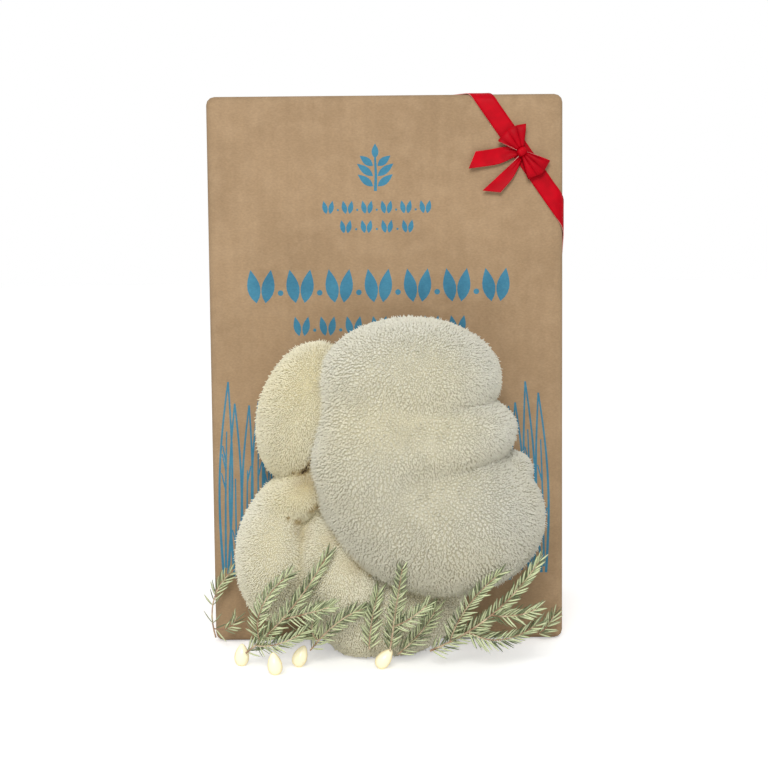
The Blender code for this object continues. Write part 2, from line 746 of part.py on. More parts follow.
def add_needles(twig, obstacles, rng):
    """Draws the twig's sides out to needles that lean towards its tip."""
    shape, quads = twig.bare_shape()
    tips = []
    for index, quad in enumerate(quads):
        step, side = divmod(index, 4)
        heading = twig.frames[step][0]
        centre = quad.calc_center_median()
        flat = side % 2 == 1
        length = NEEDLE_LENGTH * (1.0 if flat else 0.62) * rng.uniform(0.85, 1.05)
        length *= 1.0 - 0.35 * step / twig.steps
        lean = NEEDLE_LEAN * rng.uniform(0.85, 1.15)
        direction = (quad.normal * math.sin(lean) + heading * math.cos(lean)).normalized()
        reach = needle_reach(centre, direction, length, obstacles)
        tips.append(centre + direction * max(reach, 0.15 * MM))
    poked = bmesh.ops.poke(shape, faces=quads)
    for vertex, tip in zip(poked["verts"], tips):
        vertex.co = tip
    return shape


def make_sprigs(foliage, neighbours, rng):
    """All the twigs, each with needles that keep clear of the other pieces and of each other."""
    twigs = [Twig(name, points, radius) for name, (points, radius) in STEMS.items()]
    by_name = {twig.name: twig for twig in twigs}
    for name, (stem, share, middle, tip) in SHOOTS.items():
        parent = by_name[stem]
        start = parent.fork(share, Vector(middle) * MM) / MM
        twigs.append(Twig(name, [start, middle, tip], SHOOT_RADIUS))
    surfaces = [BVHTree.FromObject(piece, bpy.context.evaluated_depsgraph_get()) for piece in neighbours]
    trees = {}
    for twig in twigs:
        bare, _ = twig.bare_shape()
        trees[twig.name] = BVHTree.FromBMesh(bare)
        bare.free()
    for twig in twigs:
        others = [tree for name, tree in trees.items() if name != twig.name]
        shape = add_needles(twig, surfaces + others, rng)
        trees[twig.name] = BVHTree.FromBMesh(shape)
        add_piece(twig.name, mesh_from(shape, twig.name, turn_out=False), foliage)


def stand_on_origin():
    """Moves the kit so that the bottom centre of its box is the origin."""
    graph = bpy.context.evaluated_depsgraph_get()
    corners = []
    for piece in bpy.data.objects:
        if piece.type == "MESH" and not piece.hide_render:
            evaluated = piece.evaluated_get(graph)
            corners += [piece.matrix_world @ vertex.co for vertex in evaluated.data.vertices]
    spans = [(min(c[axis] for c in corners), max(c[axis] for c in corners)) for axis in range(3)]
    kit.location.x -= sum(spans[0]) / 2
    kit.location.y -= sum(spans[1]) / 2
    kit.location.z -= spans[2][0]


start_empty_scene()
kit = bpy.data.objects.new("kit", None)
bpy.context.scene.collection.objects.link(kit)

kraft_board = finish("kraft_board", "#B5946F", 0.85)
satin_ribbon = finish("satin_ribbon", "#C20A1C", 0.4)
fungus_flesh = finish("fungus_flesh", "#D3CCB4", 0.9)
sawdust_block = finish("sawdust_block", "#C9B08A", 0.95)
bag_film = finish("bag_film", "#DDE0DC", 0.35)
spruce_foliage = finish("spruce_foliage", "#7F8C6E", 0.7)
bulb_glass = finish("bulb_glass", "#F6E6BE", 0.3)

seeded = random.Random(12)
carton_piece = make_carton(kraft_board)
make_block_and_bag(sawdust_block, bag_film)
body_piece = make_fruiting_body(fungus_flesh, seeded)
make_ribbon_and_bow(satin_ribbon)
bulb_pieces = make_bulbs(bulb_glass)
make_sprigs(spruce_foliage, [carton_piece, body_piece] + bulb_pieces, seeded)
stand_on_origin()
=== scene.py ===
"""Looks of a mushroom growing kit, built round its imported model.

The table, light and camera come last. Blender's lengths are metres. Values named in millimetres are
measured from the middle of the front wall's foot: x to the right, y to the back, z up.
"""
import math
import random

import bmesh
import bpy
import numpy as np
from mathutils import Matrix, Vector
from mathutils.bvhtree import BVHTree
from mathutils.geometry import delaunay_2d_cdt
from mathutils.kdtree import KDTree


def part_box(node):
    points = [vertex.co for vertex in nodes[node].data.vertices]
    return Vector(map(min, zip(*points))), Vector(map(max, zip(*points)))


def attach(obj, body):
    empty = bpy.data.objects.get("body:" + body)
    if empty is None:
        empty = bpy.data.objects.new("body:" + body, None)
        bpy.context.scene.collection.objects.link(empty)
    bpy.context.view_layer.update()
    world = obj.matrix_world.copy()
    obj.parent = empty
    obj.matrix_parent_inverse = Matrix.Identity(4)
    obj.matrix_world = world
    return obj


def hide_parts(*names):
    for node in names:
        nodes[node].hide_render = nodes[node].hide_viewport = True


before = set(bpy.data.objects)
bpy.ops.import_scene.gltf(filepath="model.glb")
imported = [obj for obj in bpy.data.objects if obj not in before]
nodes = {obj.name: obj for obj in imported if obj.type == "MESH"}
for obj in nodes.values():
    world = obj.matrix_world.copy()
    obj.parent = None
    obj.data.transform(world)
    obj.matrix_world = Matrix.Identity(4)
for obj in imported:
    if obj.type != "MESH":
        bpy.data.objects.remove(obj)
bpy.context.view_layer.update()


# Carton
#
# One blank of single-wall corrugated board, 3 mm thick, printed in one blue on its front, then folded and
# glued. Its liners are unbleached kraft paper, a matt brown with grey and gold fibres, and the flutes
# inside run upright and show as faint stripes.

MM = 0.001
carton_low, carton_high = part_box("carton")
FRONT_FOOT = Vector(((carton_low.x + carton_high.x) / 2, carton_low.y, carton_low.z))
CARTON_WIDTH = 174
CARTON_HEIGHT = 270
FOLD_RADIUS = 4
FLUTE_PITCH = 6.5
# The rounded hole in the front wall that the fruiting body grows through.
HOLE_HALF_WIDTH = 38
HOLE_HALF_HEIGHT = 42
HOLE_CORNER = 30
HOLE_MIDDLE = 95
# A Mix node's colour sockets share their names, so they go by number.
SHARE, FIRST, SECOND, MIXED = 0, 6, 7, 2
MIX = {"data_type": "RGBA"}
MULTIPLY = {"data_type": "RGBA", "blend_type": "MULTIPLY", SHARE: 1.0}


def place(x, y, z):
    """A point given in millimetres from the middle of the front wall's foot."""
    return FRONT_FOOT + Vector((x, y, z)) * MM


def hex_colour(text):
    """An sRGB hex value as the linear colour that Blender's sockets take."""
    channels = [int(text[i:i + 2], 16) / 255 for i in (1, 3, 5)]
    return [c / 12.92 if c <= 0.04045 else ((c + 0.055) / 1.055) ** 2.4 for c in channels] + [1.0]


def add_node(owner, kind, settings=None, links=None):
    """Adds a shader node with its settings and links, and gives its outputs. Sockets go by name or number.

    A hex value among the settings is a colour.
    """
    node = owner.node_tree.nodes.new("ShaderNode" + kind)
    for key, value in (settings or {}).items():
        if str(value).startswith("#"):
            value = hex_colour(value)
        if isinstance(key, int) or key in node.inputs:
            node.inputs[key].default_value = value
        else:
            setattr(node, key, value)
    for key, source in (links or {}).items():
        owner.node_tree.links.new(source, node.inputs[key])
    return node.outputs


def new_material(name):
    """A material without nodes. Its patterns come first, and its shader last."""
    material = bpy.data.materials.new(name)
    material.use_nodes = True
    material.node_tree.nodes.clear()
    return material


def finish_material(material, settings, links=None):
    """Ends a material with its Principled shader."""
    shader = add_node(material, "BsdfPrincipled", settings, links)
    add_node(material, "OutputMaterial", links={"Surface": shader[0]})
    return material


def wave_scale(pitch):
    """The scale at which Blender's wave texture repeats every so many millimetres."""
    return 2 * math.pi / (20 * pitch * MM)


def kraft_paper(name, dark, middle, light, roughness):
    """Kraft liner: soft clouds of three browns, long fibres, a few dark specks and the flutes' stripes."""
    paper = new_material(name)
    spot = add_node(paper, "TexCoord")["Object"]
    clouds = add_node(paper, "TexNoise", {"Scale": 1 / (38 * MM), "Detail": 3}, {"Vector": spot})[0]
    clouds = add_node(paper, "MapRange", {"From Min": 0.36, "From Max": 0.64}, {"Value": clouds})[0]
    colour = add_node(paper, "Mix", {**MIX, FIRST: dark, SECOND: middle},
                      {SHARE: clouds})[MIXED]
    patches = add_node(paper, "TexNoise", {"Scale": 1 / (9 * MM), "Detail": 4, "Roughness": 0.6},
                       {"Vector": spot})[0]
    patches = add_node(paper, "MapRange", {"From Min": 0.42, "From Max": 0.72, "To Max": 0.6},
                       {"Value": patches})[0]
    colour = add_node(paper, "Mix", {**MIX, SECOND: light}, {SHARE: patches, FIRST: colour})[MIXED]
    # Fibres are drawn about 1.3 mm long and 0.7 mm wide, as coarse as they need to show.
    drawn_out = add_node(paper, "Mapping", {"Scale": (0.45, 1, 0.8)}, {"Vector": spot})[0]
    fibres = add_node(paper, "TexNoise", {"Scale": 1 / (0.6 * MM), "Detail": 2}, {"Vector": drawn_out})[0]
    fibre_shade = add_node(paper, "MapRange",
                           {"From Min": 0.35, "From Max": 0.7, "To Min": 0.93, "To Max": 1.07},
                           {"Value": fibres})[0]
    colour = add_node(paper, "Mix", MULTIPLY, {FIRST: colour, SECOND: fibre_shade})[MIXED]
    specks = add_node(paper, "TexNoise", {"Scale": 1 / (0.9 * MM), "Detail": 1}, {"Vector": spot})[0]
    specks = add_node(paper, "MapRange", {"From Min": 0.76, "From Max": 0.80, "To Max": 0.35},
                      {"Value": specks})[0]
    colour = add_node(paper, "Mix", {**MIX, SECOND: dark}, {SHARE: specks, FIRST: colour})[MIXED]
    flutes = add_node(paper, "TexWave", {"bands_direction": "X", "Scale": wave_scale(FLUTE_PITCH),
                                         "Distortion": 0.6, "Detail": 1, "Detail Scale": 0.3},
                      {"Vector": spot})["Fac"]
    stripes = add_node(paper, "MapRange", {"To Min": 0.985, "To Max": 1.015}, {"Value": flutes})[0]
    colour = add_node(paper, "Mix", MULTIPLY, {FIRST: colour, SECOND: stripes})[MIXED]
    fibre_bump = add_node(paper, "Bump", {"Strength": 0.12, "Distance": 0.1 * MM}, {"Height": fibres})[0]
    flute_bump = add_node(paper, "Bump", {"Strength": 0.25, "Distance": 0.15 * MM},
                          {"Height": flutes, "Normal": fibre_bump})[0]
    return finish_material(paper, {"Roughness": roughness}, {"Base Color": colour, "Normal": flute_bump})


kraft_liner = kraft_paper("kraft_liner", "#9B8060", "#A58968", "#B09473", 0.88)
# Water-based ink soaks into the liner, so it is as matt, and the paper's clouds show through it.
blue_ink = kraft_paper("blue_ink_on_kraft", "#32708A", "#3B7F9C", "#4A8DA6", 0.85)


def leaf(x, z, length, width, angle):
    """A pointed leaf from its foot, as an outline. The angle is from upright, to the right."""
    steps = 7
    turn = math.radians(angle)
    outline = []
    for side, order in ((1, range(steps + 1)), (-1, range(steps - 1, 0, -1))):
        for step in order:
            along = length * step / steps
            half = side * width / 2 * math.sin(math.pi * (step / steps) ** 0.85)
            outline.append((x + along * math.sin(turn) + half * math.cos(turn),
                            z + along * math.cos(turn) - half * math.sin(turn)))
    return outline


def dot(x, z, radius, sides=16):
    """A round dot, as an outline."""
    turns = [2 * math.pi * i / sides for i in range(sides)]
    return [(x + radius * math.cos(turn), z + radius * math.sin(turn)) for turn in turns]


def stroke(points, widths):
    """A brush stroke along some points, as an outline."""
    left, right = [], []
    for i, (x, z) in enumerate(points):
        before = points[max(i - 1, 0)]
        after = points[min(i + 1, len(points) - 1)]
        half = widths[i] / 2 / math.dist(before, after)
        across = ((before[1] - after[1]) * half, (after[0] - before[0]) * half)
        left.append((x + across[0], z + across[1]))
        right.append((x - across[0], z - across[1]))
    return right + left[::-1]


def leaf_emblem(x, z, size):
    """A twig with three pairs of leaves and one at its tip, measured in shares of its size."""
    shapes = [stroke([(x, z), (x + 0.3, z + size * 0.35), (x, z + size * 0.72)], [1.5, 1.3, 1.0])]
    for share, length in ((0.10, 0.42), (0.32, 0.44), (0.54, 0.36)):
        for side in (-1, 1):
            shapes.append(leaf(x + side * 1.1, z + size * share, size * length, size * 0.16, side * 52))
    shapes.append(leaf(x, z + size * 0.70, size * 0.32, size * 0.15, 0))
    return shapes


def leaf_row(left, right, low, height, pairs, width, lean):
    """A border: pairs of leaves that lean apart, with a dot between one pair and the next."""
    pitch = (right - left) / pairs
    length = height / math.cos(math.radians(lean))
    shapes = []
    for i in range(pairs):
        x = left + pitch * (i + 0.5)
        for side in (-1, 1):
            shapes.append(leaf(x + side * width * 0.34, low, length, width, side * lean))
        if i < pairs - 1:
            shapes.append(dot(x + pitch * 0.5, low + height * 0.30, height * 0.085))
    return shapes


def tall_leaf(x, foot, height, width, sway, chance):
    """A tall grass leaf in outline: two edges that meet at its tip, a midrib and a few short veins."""
    edge_steps, rib_steps = 16, 10
    shapes = []

    def spot(share, side=0):
        """The point a share of the way up, on the midrib or out towards an edge."""
        half = width / 2 * math.sin(math.pi * (0.16 + 0.84 * share) ** 1.15)
        return x + sway * share ** 1.8 + side * half, foot + height * share

    for side in (-1, 1):
        shares = [step / edge_steps for step in range(edge_steps + 1)]
        edge = [spot(share, side) for share in shares]
        shapes.append(stroke(edge, [1.3 - 0.5 * share for share in shares]))
    rib_top = chance.uniform(0.55, 0.8)
    rib = []
    for step in range(rib_steps + 1):
        share = rib_top * step / rib_steps
        rib.append((spot(share)[0], foot + 3 + (height - 3) * share))
    shapes.append(stroke(rib, [1.15 - 0.05 * step for step in range(rib_steps + 1)]))
    for _ in range(3):
        share = chance.uniform(0.1, 0.62)
        side = chance.choice((-1, 1))
        shapes.append(stroke([spot(share), spot(share + 0.09, side * 0.72)], [0.85, 0.6]))
    return shapes


# Each row of leaf pairs: its left and right ends, its foot and height, how many pairs it has, and each
# leaf's width and lean, in millimetres and degrees.
LEAF_ROWS = (
    (-32.7, 24.4, 212.6, 6.4, 6, 2.6, 12),
    (-24.4, 16.0, 203.2, 6.4, 4, 2.6, 12),
    (-71.0, 63.6, 169.3, 16.4, 7, 6.4, 10),
    (-48.0, 41.5, 153.0, 9.6, 7, 3.6, 12),
)


def front_print():
    """All that is printed on the front, as outlines in millimetres."""
    chance = random.Random(5)
    shapes = leaf_emblem(-4.7, 223.6, 22.5)
    for row in LEAF_ROWS:
        shapes += leaf_row(*row)
    x = -81.0
    while x < 82:
        shapes += tall_leaf(x, chance.uniform(29, 38), chance.uniform(82, 101), chance.uniform(5.2, 6.6),
                            chance.uniform(-3, 3), chance)
        x += chance.uniform(5.2, 6.2)
    return shapes


def finished_mesh(name, shape):
    """A mesh from a bmesh, which is let go."""
    mesh = bpy.data.meshes.new(name)
    shape.to_mesh(mesh)
    shape.free()
    return mesh


def add_object(name, data):
    """An object in the scene."""
    thing = bpy.data.objects.new(name, data)
    bpy.context.scene.collection.objects.link(thing)
    return thing


def new_piece(name, mesh, materials, replaced=(), smooth_angle=None):
    for material in materials:
        mesh.materials.append(material)
    if smooth_angle is not None:
        mesh.shade_smooth()
        mesh.set_sharp_from_angle(angle=math.radians(smooth_angle))
    piece = add_object(name, mesh)
    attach(piece, "root")
    if replaced:
        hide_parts(*replaced)
    return piece


def in_hole(x, z):
    """Whether a point of the front lies in the hole, just inside its rim."""
    out_x = max(abs(x) - (HOLE_HALF_WIDTH - HOLE_CORNER), 0)
    out_z = max(abs(z - HOLE_MIDDLE) - (HOLE_HALF_HEIGHT - HOLE_CORNER), 0)
    return math.hypot(out_x, out_z) < HOLE_CORNER - 0.2


def printed_carton():
    """The carton's own shape, with its front cut into bare board and inked faces that lie flush."""
    shape = bmesh.new()
    shape.from_mesh(nodes["carton"].data)
    bmesh.ops.remove_doubles(shape, verts=shape.verts[:], dist=1e-6)
    front = {face for face in shape.faces
             if face.normal.y < -0.999 and abs(face.calc_center_median().y - FRONT_FOOT.y) < 0.05 * MM}
    rim = [edge for edge in shape.edges if len(front.intersection(edge.link_faces)) == 1]
    rim_corners = list(dict.fromkeys(corner for edge in rim for corner in edge.verts))
    number = {corner: i for i, corner in enumerate(rim_corners)}
    points = [Vector((corner.co.x - FRONT_FOOT.x, corner.co.z - FRONT_FOOT.z)) / MM for corner in rim_corners]
    edges = [(number[edge.verts[0]], number[edge.verts[1]]) for edge in rim]
    outlines = []
    for outline in front_print():
        outlines.append(list(range(len(points), len(points) + len(outline))))
        points += [Vector(point) for point in outline]
    cut = delaunay_2d_cdt(points, edges, outlines, 0, 1e-5, True)
    cut_points, _, cut_faces, came_from, _, face_from = cut
    bmesh.ops.delete(shape, geom=list(front), context="FACES_ONLY")
    corners = []
    for point, sources in zip(cut_points, came_from):
        on_rim = [i for i in sources if i < len(rim_corners)]
        corners.append(rim_corners[on_rim[0]] if on_rim else shape.verts.new(place(point.x, 0, point.y)))
    for face, sources in zip(cut_faces, face_from):
        middle = sum((cut_points[i] for i in face), Vector((0, 0))) / len(face)
        if in_hole(middle.x, middle.y):
            continue
        made = shape.faces.new([corners[i] for i in face])
        made.normal_update()
        if made.normal.y > 0:
            made.normal_flip()
        made.material_index = 1 if sources else 0
    for edge in [edge for edge in shape.edges if not edge.link_faces]:
        shape.edges.remove(edge)
    return finished_mesh("carton_printed", shape)


new_piece("carton_printed", printed_carton(), [kraft_liner, blue_ink], ["carton"],
          smooth_angle=35)


# Grow bag and substrate block
#
# A block of pressed hardwood sawdust, grown through with white threads, in a thin clear bag that fills the
# carton. Neither shows while the carton is shut. Their own shapes stay and only take their finish.

sawdust = new_material("sawdust_with_mycelium")
block_spot = add_node(sawdust, "TexCoord")["Object"]
threads = add_node(sawdust, "TexNoise", {"Scale": 1 / (14 * MM), "Detail": 5, "Roughness": 0.65},
                   {"Vector": block_spot})[0]
threads = add_node(sawdust, "MapRange", {"From Min": 0.40, "From Max": 0.62}, {"Value": threads})[0]
chips = add_node(sawdust, "TexNoise", {"Scale": 1 / (2.5 * MM), "Detail": 3}, {"Vector": block_spot})[0]
chips = add_node(sawdust, "MapRange", {"From Min": 0.35, "From Max": 0.65}, {"Value": chips})[0]
block_colour = add_node(sawdust, "Mix", {**MIX, FIRST: "#9C7A50", SECOND: "#D2B88E"},
                        {SHARE: chips})[MIXED]
block_colour = add_node(sawdust, "Mix", {**MIX, SECOND: "#EFE9DA"},
                        {SHARE: threads, FIRST: block_colour})[MIXED]
chip_bump = add_node(sawdust, "Bump", {"Strength": 0.6, "Distance": 0.8 * MM}, {"Height": chips})[0]
finish_material(sawdust, {"Roughness": 0.95}, {"Base Color": block_colour, "Normal": chip_bump})

film = new_material("clear_film")
film_spot = add_node(film, "TexCoord")["Object"]
film_spot = add_node(film, "Mapping", {"Scale": (1, 1, 0.3)}, {"Vector": film_spot})[0]
film_creases = add_node(film, "TexNoise", {"Scale": 1 / (9 * MM), "Detail": 4}, {"Vector": film_spot})[0]
crease_bump = add_node(film, "Bump", {"Strength": 0.5, "Distance": 0.6 * MM}, {"Height": film_creases})[0]
finish_material(film, {"Base Color": "#E4E8E6", "Roughness": 0.22, "IOR": 1.5, "Alpha": 0.45},
                {"Normal": crease_bump})

for node_name, finish in (("substrate_block", sawdust), ("grow_bag", film)):
    hidden_mesh = nodes[node_name].data
    hidden_mesh.materials.clear()
    hidden_mesh.materials.append(finish)


# Fruiting body
#
# One lion's mane fungus that grew out of the hole in soft lobes. The flesh is firm and cream, and short
# spines cover all of it that meets the air. They stand close like the pile of a towel, droop a little,
# and are palest at their tips, painted darker towards their feet as painted shade in the pile. Its older
# parts turn yellow, and bruised clefts turn brown. Its creases are stained tan and painted darker, and
# the faces that look down painted tan and darker, as painted shade; the low lobes, which the main mass
# shades, are painted paler as painted light.

# Each lobe: its centre, its three radii and its lean to the right, in millimetres and degrees.
LOBES = {
    "upper": ((11, -38, 135), (43, 42, 29), 0),
    "middle": ((15.5, -42, 105), (46, 44, 23), -11),
    "lower": ((26, -42, 70), (48, 48, 37), 0),
    "middle_left": ((-6, -38, 96), (29, 42, 45), 0),
    "upper_left": ((-39, -22, 118), (23, 30, 35), 18),
    "waist_left": ((-41, -24, 79), (20, 27, 13), -22),
    "low_left": ((-54, -24, 48), (20, 30, 32), 0),
    "low_centre": ((-2, -23, 30), (39, 30, 32), 0),
    "low_shoulder": ((-24, -26, 46), (24, 32, 30), 0),
    "low_tip": ((-15, -24, 9), (7, 12, 7), 0),
    "right_bud": ((57.2, -38, 91), (11.5, 18, 10), 0),
}
MAIN_MASS = ("upper", "middle", "lower", "middle_left", "right_bud")
# The other groups of lobes, each with how softly its own lobes join, in millimetres.
OTHER_GROUPS = (
    (("upper_left",), 4.0),
    (("waist_left", "low_left"), 10.0),
    (("low_centre", "low_shoulder", "low_tip"), 14.0),
)
GROUP_BLEND = 4.0
# The main mass's lobes run into each other softly on its left and meet in creases on its right.
CREASE_BLEND_LEFT = 15.0
CREASE_BLEND_RIGHT = 2.0
CREASE_LEFT = -2
CREASE_RIGHT = 36
# The flesh lies this deep under the ends of its spines, and clear of the wall.
FLESH_DEPTH = 1.3
WALL_GAP = 0.3
FLESH_VOXEL = 1.7
SPINE_SPACING = 0.62
SPINE_LENGTH = 1.45
SPINE_RADIUS = 0.335
# How far a spine's end has turned over, and how much its weight pulls it down.
SPINE_BEND = 0.55
SPINE_DROOP = 0.36
LENGTH_SPREAD = (0.72, 1.16)
# One spine in eight stands out of the pile, longer and thinner than the rest.
STRAY_SHARE = 0.13
STRAY_LENGTH = 1.65
STRAY_FULLNESS = 0.45
# The spines lean together in tufts of about this size, in millimetres, with fine cracks between them.
TUFT_SIZE = 1.35
TUFT_LEAN = 0.38
# How far from a crease between two groups of lobes the flesh is stained tan and painted darker, as painted
# crease shade, in millimetres.
CREASE_STAIN_AND_SHADE = 3.0
# Where the flesh is bruised brown: the place, how far it spreads, in millimetres, and how brown it is.
BRUISES = (
    ((-40.5, -38.4, 90.8), 2.1, 1.0), ((-39.2, -39.2, 92.4), 1.9, 1.0), ((-37.8, -40.6, 94.3), 1.6, 1.0),
    ((-36.4, -42.8, 96.4), 1.3, 1.0), ((-35.0, -46.0, 98.2), 1.0, 0.9), ((-44.3, -38.6, 91.2), 1.0, 0.85),
    ((-35.5, -43.0, 86.0), 8.0, 0.26), ((-33.5, -45.6, 76.3), 2.2, 0.62), ((-36.0, -45.3, 74.3), 1.8, 0.5),
    ((-42.7, -43.3, 68.6), 2.2, 0.5), ((-47.0, -46.2, 71.0), 0.9, 0.7), ((-41.0, -43.5, 64.0), 5.0, 0.16),
    ((-22.8, -53.4, 59.5), 0.9, 0.7), ((-17.2, -54.8, 53.6), 1.0, 0.8), ((-13.4, -54.3, 49.3), 1.0, 0.85),
    ((-8.8, -53.0, 45.0), 0.9, 0.7), ((-15.0, -54.5, 51.0), 6.0, 0.18), ((-26.0, -53.0, 63.0), 5.0, 0.12),
)


def lobe_distance(points, centre, radii, lean):
    """About how far each point, in millimetres, lies outside one lobe."""
    turn = math.radians(lean)
    offset = points - np.array(centre)
    across = offset[:, 0] * math.cos(turn) - offset[:, 2] * math.sin(turn)
    along = offset[:, 0] * math.sin(turn) + offset[:, 2] * math.cos(turn)
    local = np.column_stack((across, offset[:, 1], along)) / np.array(radii)
    size = np.linalg.norm(local, axis=1)
    slope = np.linalg.norm(local / np.array(radii), axis=1)
    return size * (size - 1) / np.maximum(slope, 1e-9)


def join_softly(first, second, blend):
    """The distance to two forms whose crease is filled over the blend's width."""
    overlap = np.maximum(blend - np.abs(first - second), 0) / blend
    return np.minimum(first, second) - overlap * overlap * blend / 4


def group_distance(points, names, blend=1.0):
    """About how far each point lies outside some lobes that are joined softly."""
    joined = lobe_distance(points, *LOBES[names[0]])
    for name in names[1:]:
        joined = join_softly(joined, lobe_distance(points, *LOBES[name]), blend)
    return joined


def flesh_distance(points):
    """How far each point lies outside the flesh. The main mass has softer creases on its left."""
    share = np.clip((points[:, 0] - CREASE_LEFT) / (CREASE_RIGHT - CREASE_LEFT), 0, 1)
    main_blend = CREASE_BLEND_LEFT + (CREASE_BLEND_RIGHT - CREASE_BLEND_LEFT) * share
    joined = group_distance(points, MAIN_MASS, main_blend)
    for names, blend in OTHER_GROUPS:
        joined = join_softly(joined, group_distance(points, names, blend), GROUP_BLEND)
    return joined + FLESH_DEPTH


def flesh_slope(points, step=0.2):
    """Each point's distance, and the way out of the flesh there, as steep as the distance grows."""
    here = flesh_distance(points)
    return here, np.column_stack([(flesh_distance(points + step * axis) - here) / step for axis in np.eye(3)])


def unit(vectors):
    """The same directions at length one."""
    return vectors / np.linalg.norm(vectors, axis=-1, keepdims=True)


def mesh_points(mesh):
    """A mesh's vertices in millimetres from the front wall's foot."""
    flat = np.empty(len(mesh.vertices) * 3)
    mesh.vertices.foreach_get("co", flat)
    return (flat.reshape(-1, 3) - np.array(FRONT_FOOT)) / MM


def set_mesh_points(mesh, points):
    """Moves a mesh's vertices to points in millimetres."""
    mesh.vertices.foreach_set("co", (points * MM + np.array(FRONT_FOOT)).ravel())
    mesh.update()


def evaluated_mesh(piece):
    """A piece's mesh with its modifiers applied."""
    graph = bpy.context.evaluated_depsgraph_get()
    return bpy.data.meshes.new_from_object(piece.evaluated_get(graph))


def hole_plug(shrink, start, end):
    """A plug of the hole's outline, made smaller by shrink, from start to end along y."""
    radius = HOLE_CORNER - shrink
    shape = bmesh.new()
    outline = []
    for corner, (side_x, side_z) in enumerate(((1, 1), (-1, 1), (-1, -1), (1, -1))):
        for step in range(9):
            angle = math.radians(90) * (corner + step / 8)
            x = side_x * (HOLE_HALF_WIDTH - HOLE_CORNER) + radius * math.cos(angle)
            z = HOLE_MIDDLE + side_z * (HOLE_HALF_HEIGHT - HOLE_CORNER) + radius * math.sin(angle)
            outline.append(shape.verts.new(place(x, start, z)))
    run = bmesh.ops.extrude_face_region(shape, geom=[shape.faces.new(outline)])
    moved = [item for item in run["geom"] if isinstance(item, bmesh.types.BMVert)]
    bmesh.ops.translate(shape, vec=(0, (end - start) * MM, 0), verts=moved)
    bmesh.ops.recalc_face_normals(shape, faces=shape.faces[:])
    return shape


def outer_shell(mesh):
    """The mesh without any hollow that the lobes enclose between them.

    Its corners and faces are sorted by place, because a Boolean gives them in another order each time.
    """
    shape = bmesh.new()
    shape.from_mesh(mesh)
    waiting = set(shape.verts)
    largest = set()
    while waiting:
        shell = {waiting.pop()}
        edge_of_shell = list(shell)
        while edge_of_shell:
            vertex = edge_of_shell.pop()
            for edge in vertex.link_edges:
                neighbour = edge.other_vert(vertex)
                if neighbour in waiting:
                    waiting.remove(neighbour)
                    shell.add(neighbour)
                    edge_of_shell.append(neighbour)
        largest = max(largest, shell, key=len)
    corners = sorted(largest, key=lambda vertex: tuple(vertex.co))
    rank = {vertex: i for i, vertex in enumerate(corners)}
    faces = []
    for face in shape.faces:
        if face.verts[0] in largest:
            ranks = [rank[vertex] for vertex in face.verts]
            first = ranks.index(min(ranks))
            faces.append(ranks[first:] + ranks[:first])
    shell_mesh = bpy.data.meshes.new("fruiting_body_flesh")
    shell_mesh.from_pydata([vertex.co[:] for vertex in corners], [], sorted(faces))
    shape.free()
    return shell_mesh


def grow_flesh():
    """The lobes in one skin, cut flat where they meet the carton, and the neck through the hole."""
    shape = bmesh.new()
    for centre, radii, lean in LOBES.values():
        turn = Matrix.Rotation(math.radians(lean), 4, "Y")
        size = Matrix.Diagonal((*(Vector(radii) * MM), 1.0))
        bmesh.ops.create_icosphere(shape, subdivisions=4, radius=1.0,
                                   matrix=Matrix.Translation(place(*centre)) @ turn @ size)
    skin = add_object("lobes", finished_mesh("lobes", shape))
    remesh = skin.modifiers.new("one_skin", "REMESH")
    remesh.mode = "VOXEL"
    remesh.voxel_size = FLESH_VOXEL * MM
    mesh = evaluated_mesh(skin)
    # The rough skin settles on the smooth one in a few steps.
    points = mesh_points(mesh)
    for _ in range(6):
        here, slope = flesh_slope(points)
        points -= 0.8 * (here / np.maximum((slope ** 2).sum(axis=1), 0.05))[:, None] * slope
    points[:, 2] = np.maximum(points[:, 2], WALL_GAP)
    set_mesh_points(mesh, points)
    cut = bmesh.new()
    cut.from_mesh(mesh)
    bmesh.ops.bisect_plane(cut, geom=cut.verts[:] + cut.edges[:] + cut.faces[:], dist=1e-6,
                           plane_co=place(0, -WALL_GAP, 0), plane_no=(0, 1, 0), clear_outer=True)
    rim = [edge for edge in cut.edges if edge.is_boundary]
    bmesh.ops.triangle_fill(cut, edges=rim, use_dissolve=False, use_beauty=True)
    bmesh.ops.recalc_face_normals(cut, faces=cut.faces[:])
    skin.modifiers.clear()
    skin.data = finished_mesh("cut_lobes", cut)
    neck = add_object("neck", finished_mesh("neck", hole_plug(shrink=0.5, start=-14, end=3.7)))
    join = skin.modifiers.new("neck", "BOOLEAN")
    join.operation = "UNION"
    join.solver = "EXACT"
    join.use_self = True
    join.object = neck
    mesh = outer_shell(evaluated_mesh(skin))
    for thing in (skin, neck):
        bpy.data.objects.remove(thing)
    return mesh


def search_tree(points):
    """Finds the points nearest to a place."""
    tree = KDTree(len(points))
    for i, point in enumerate(points):
        tree.insert(point, i)
    tree.balance()
    return tree


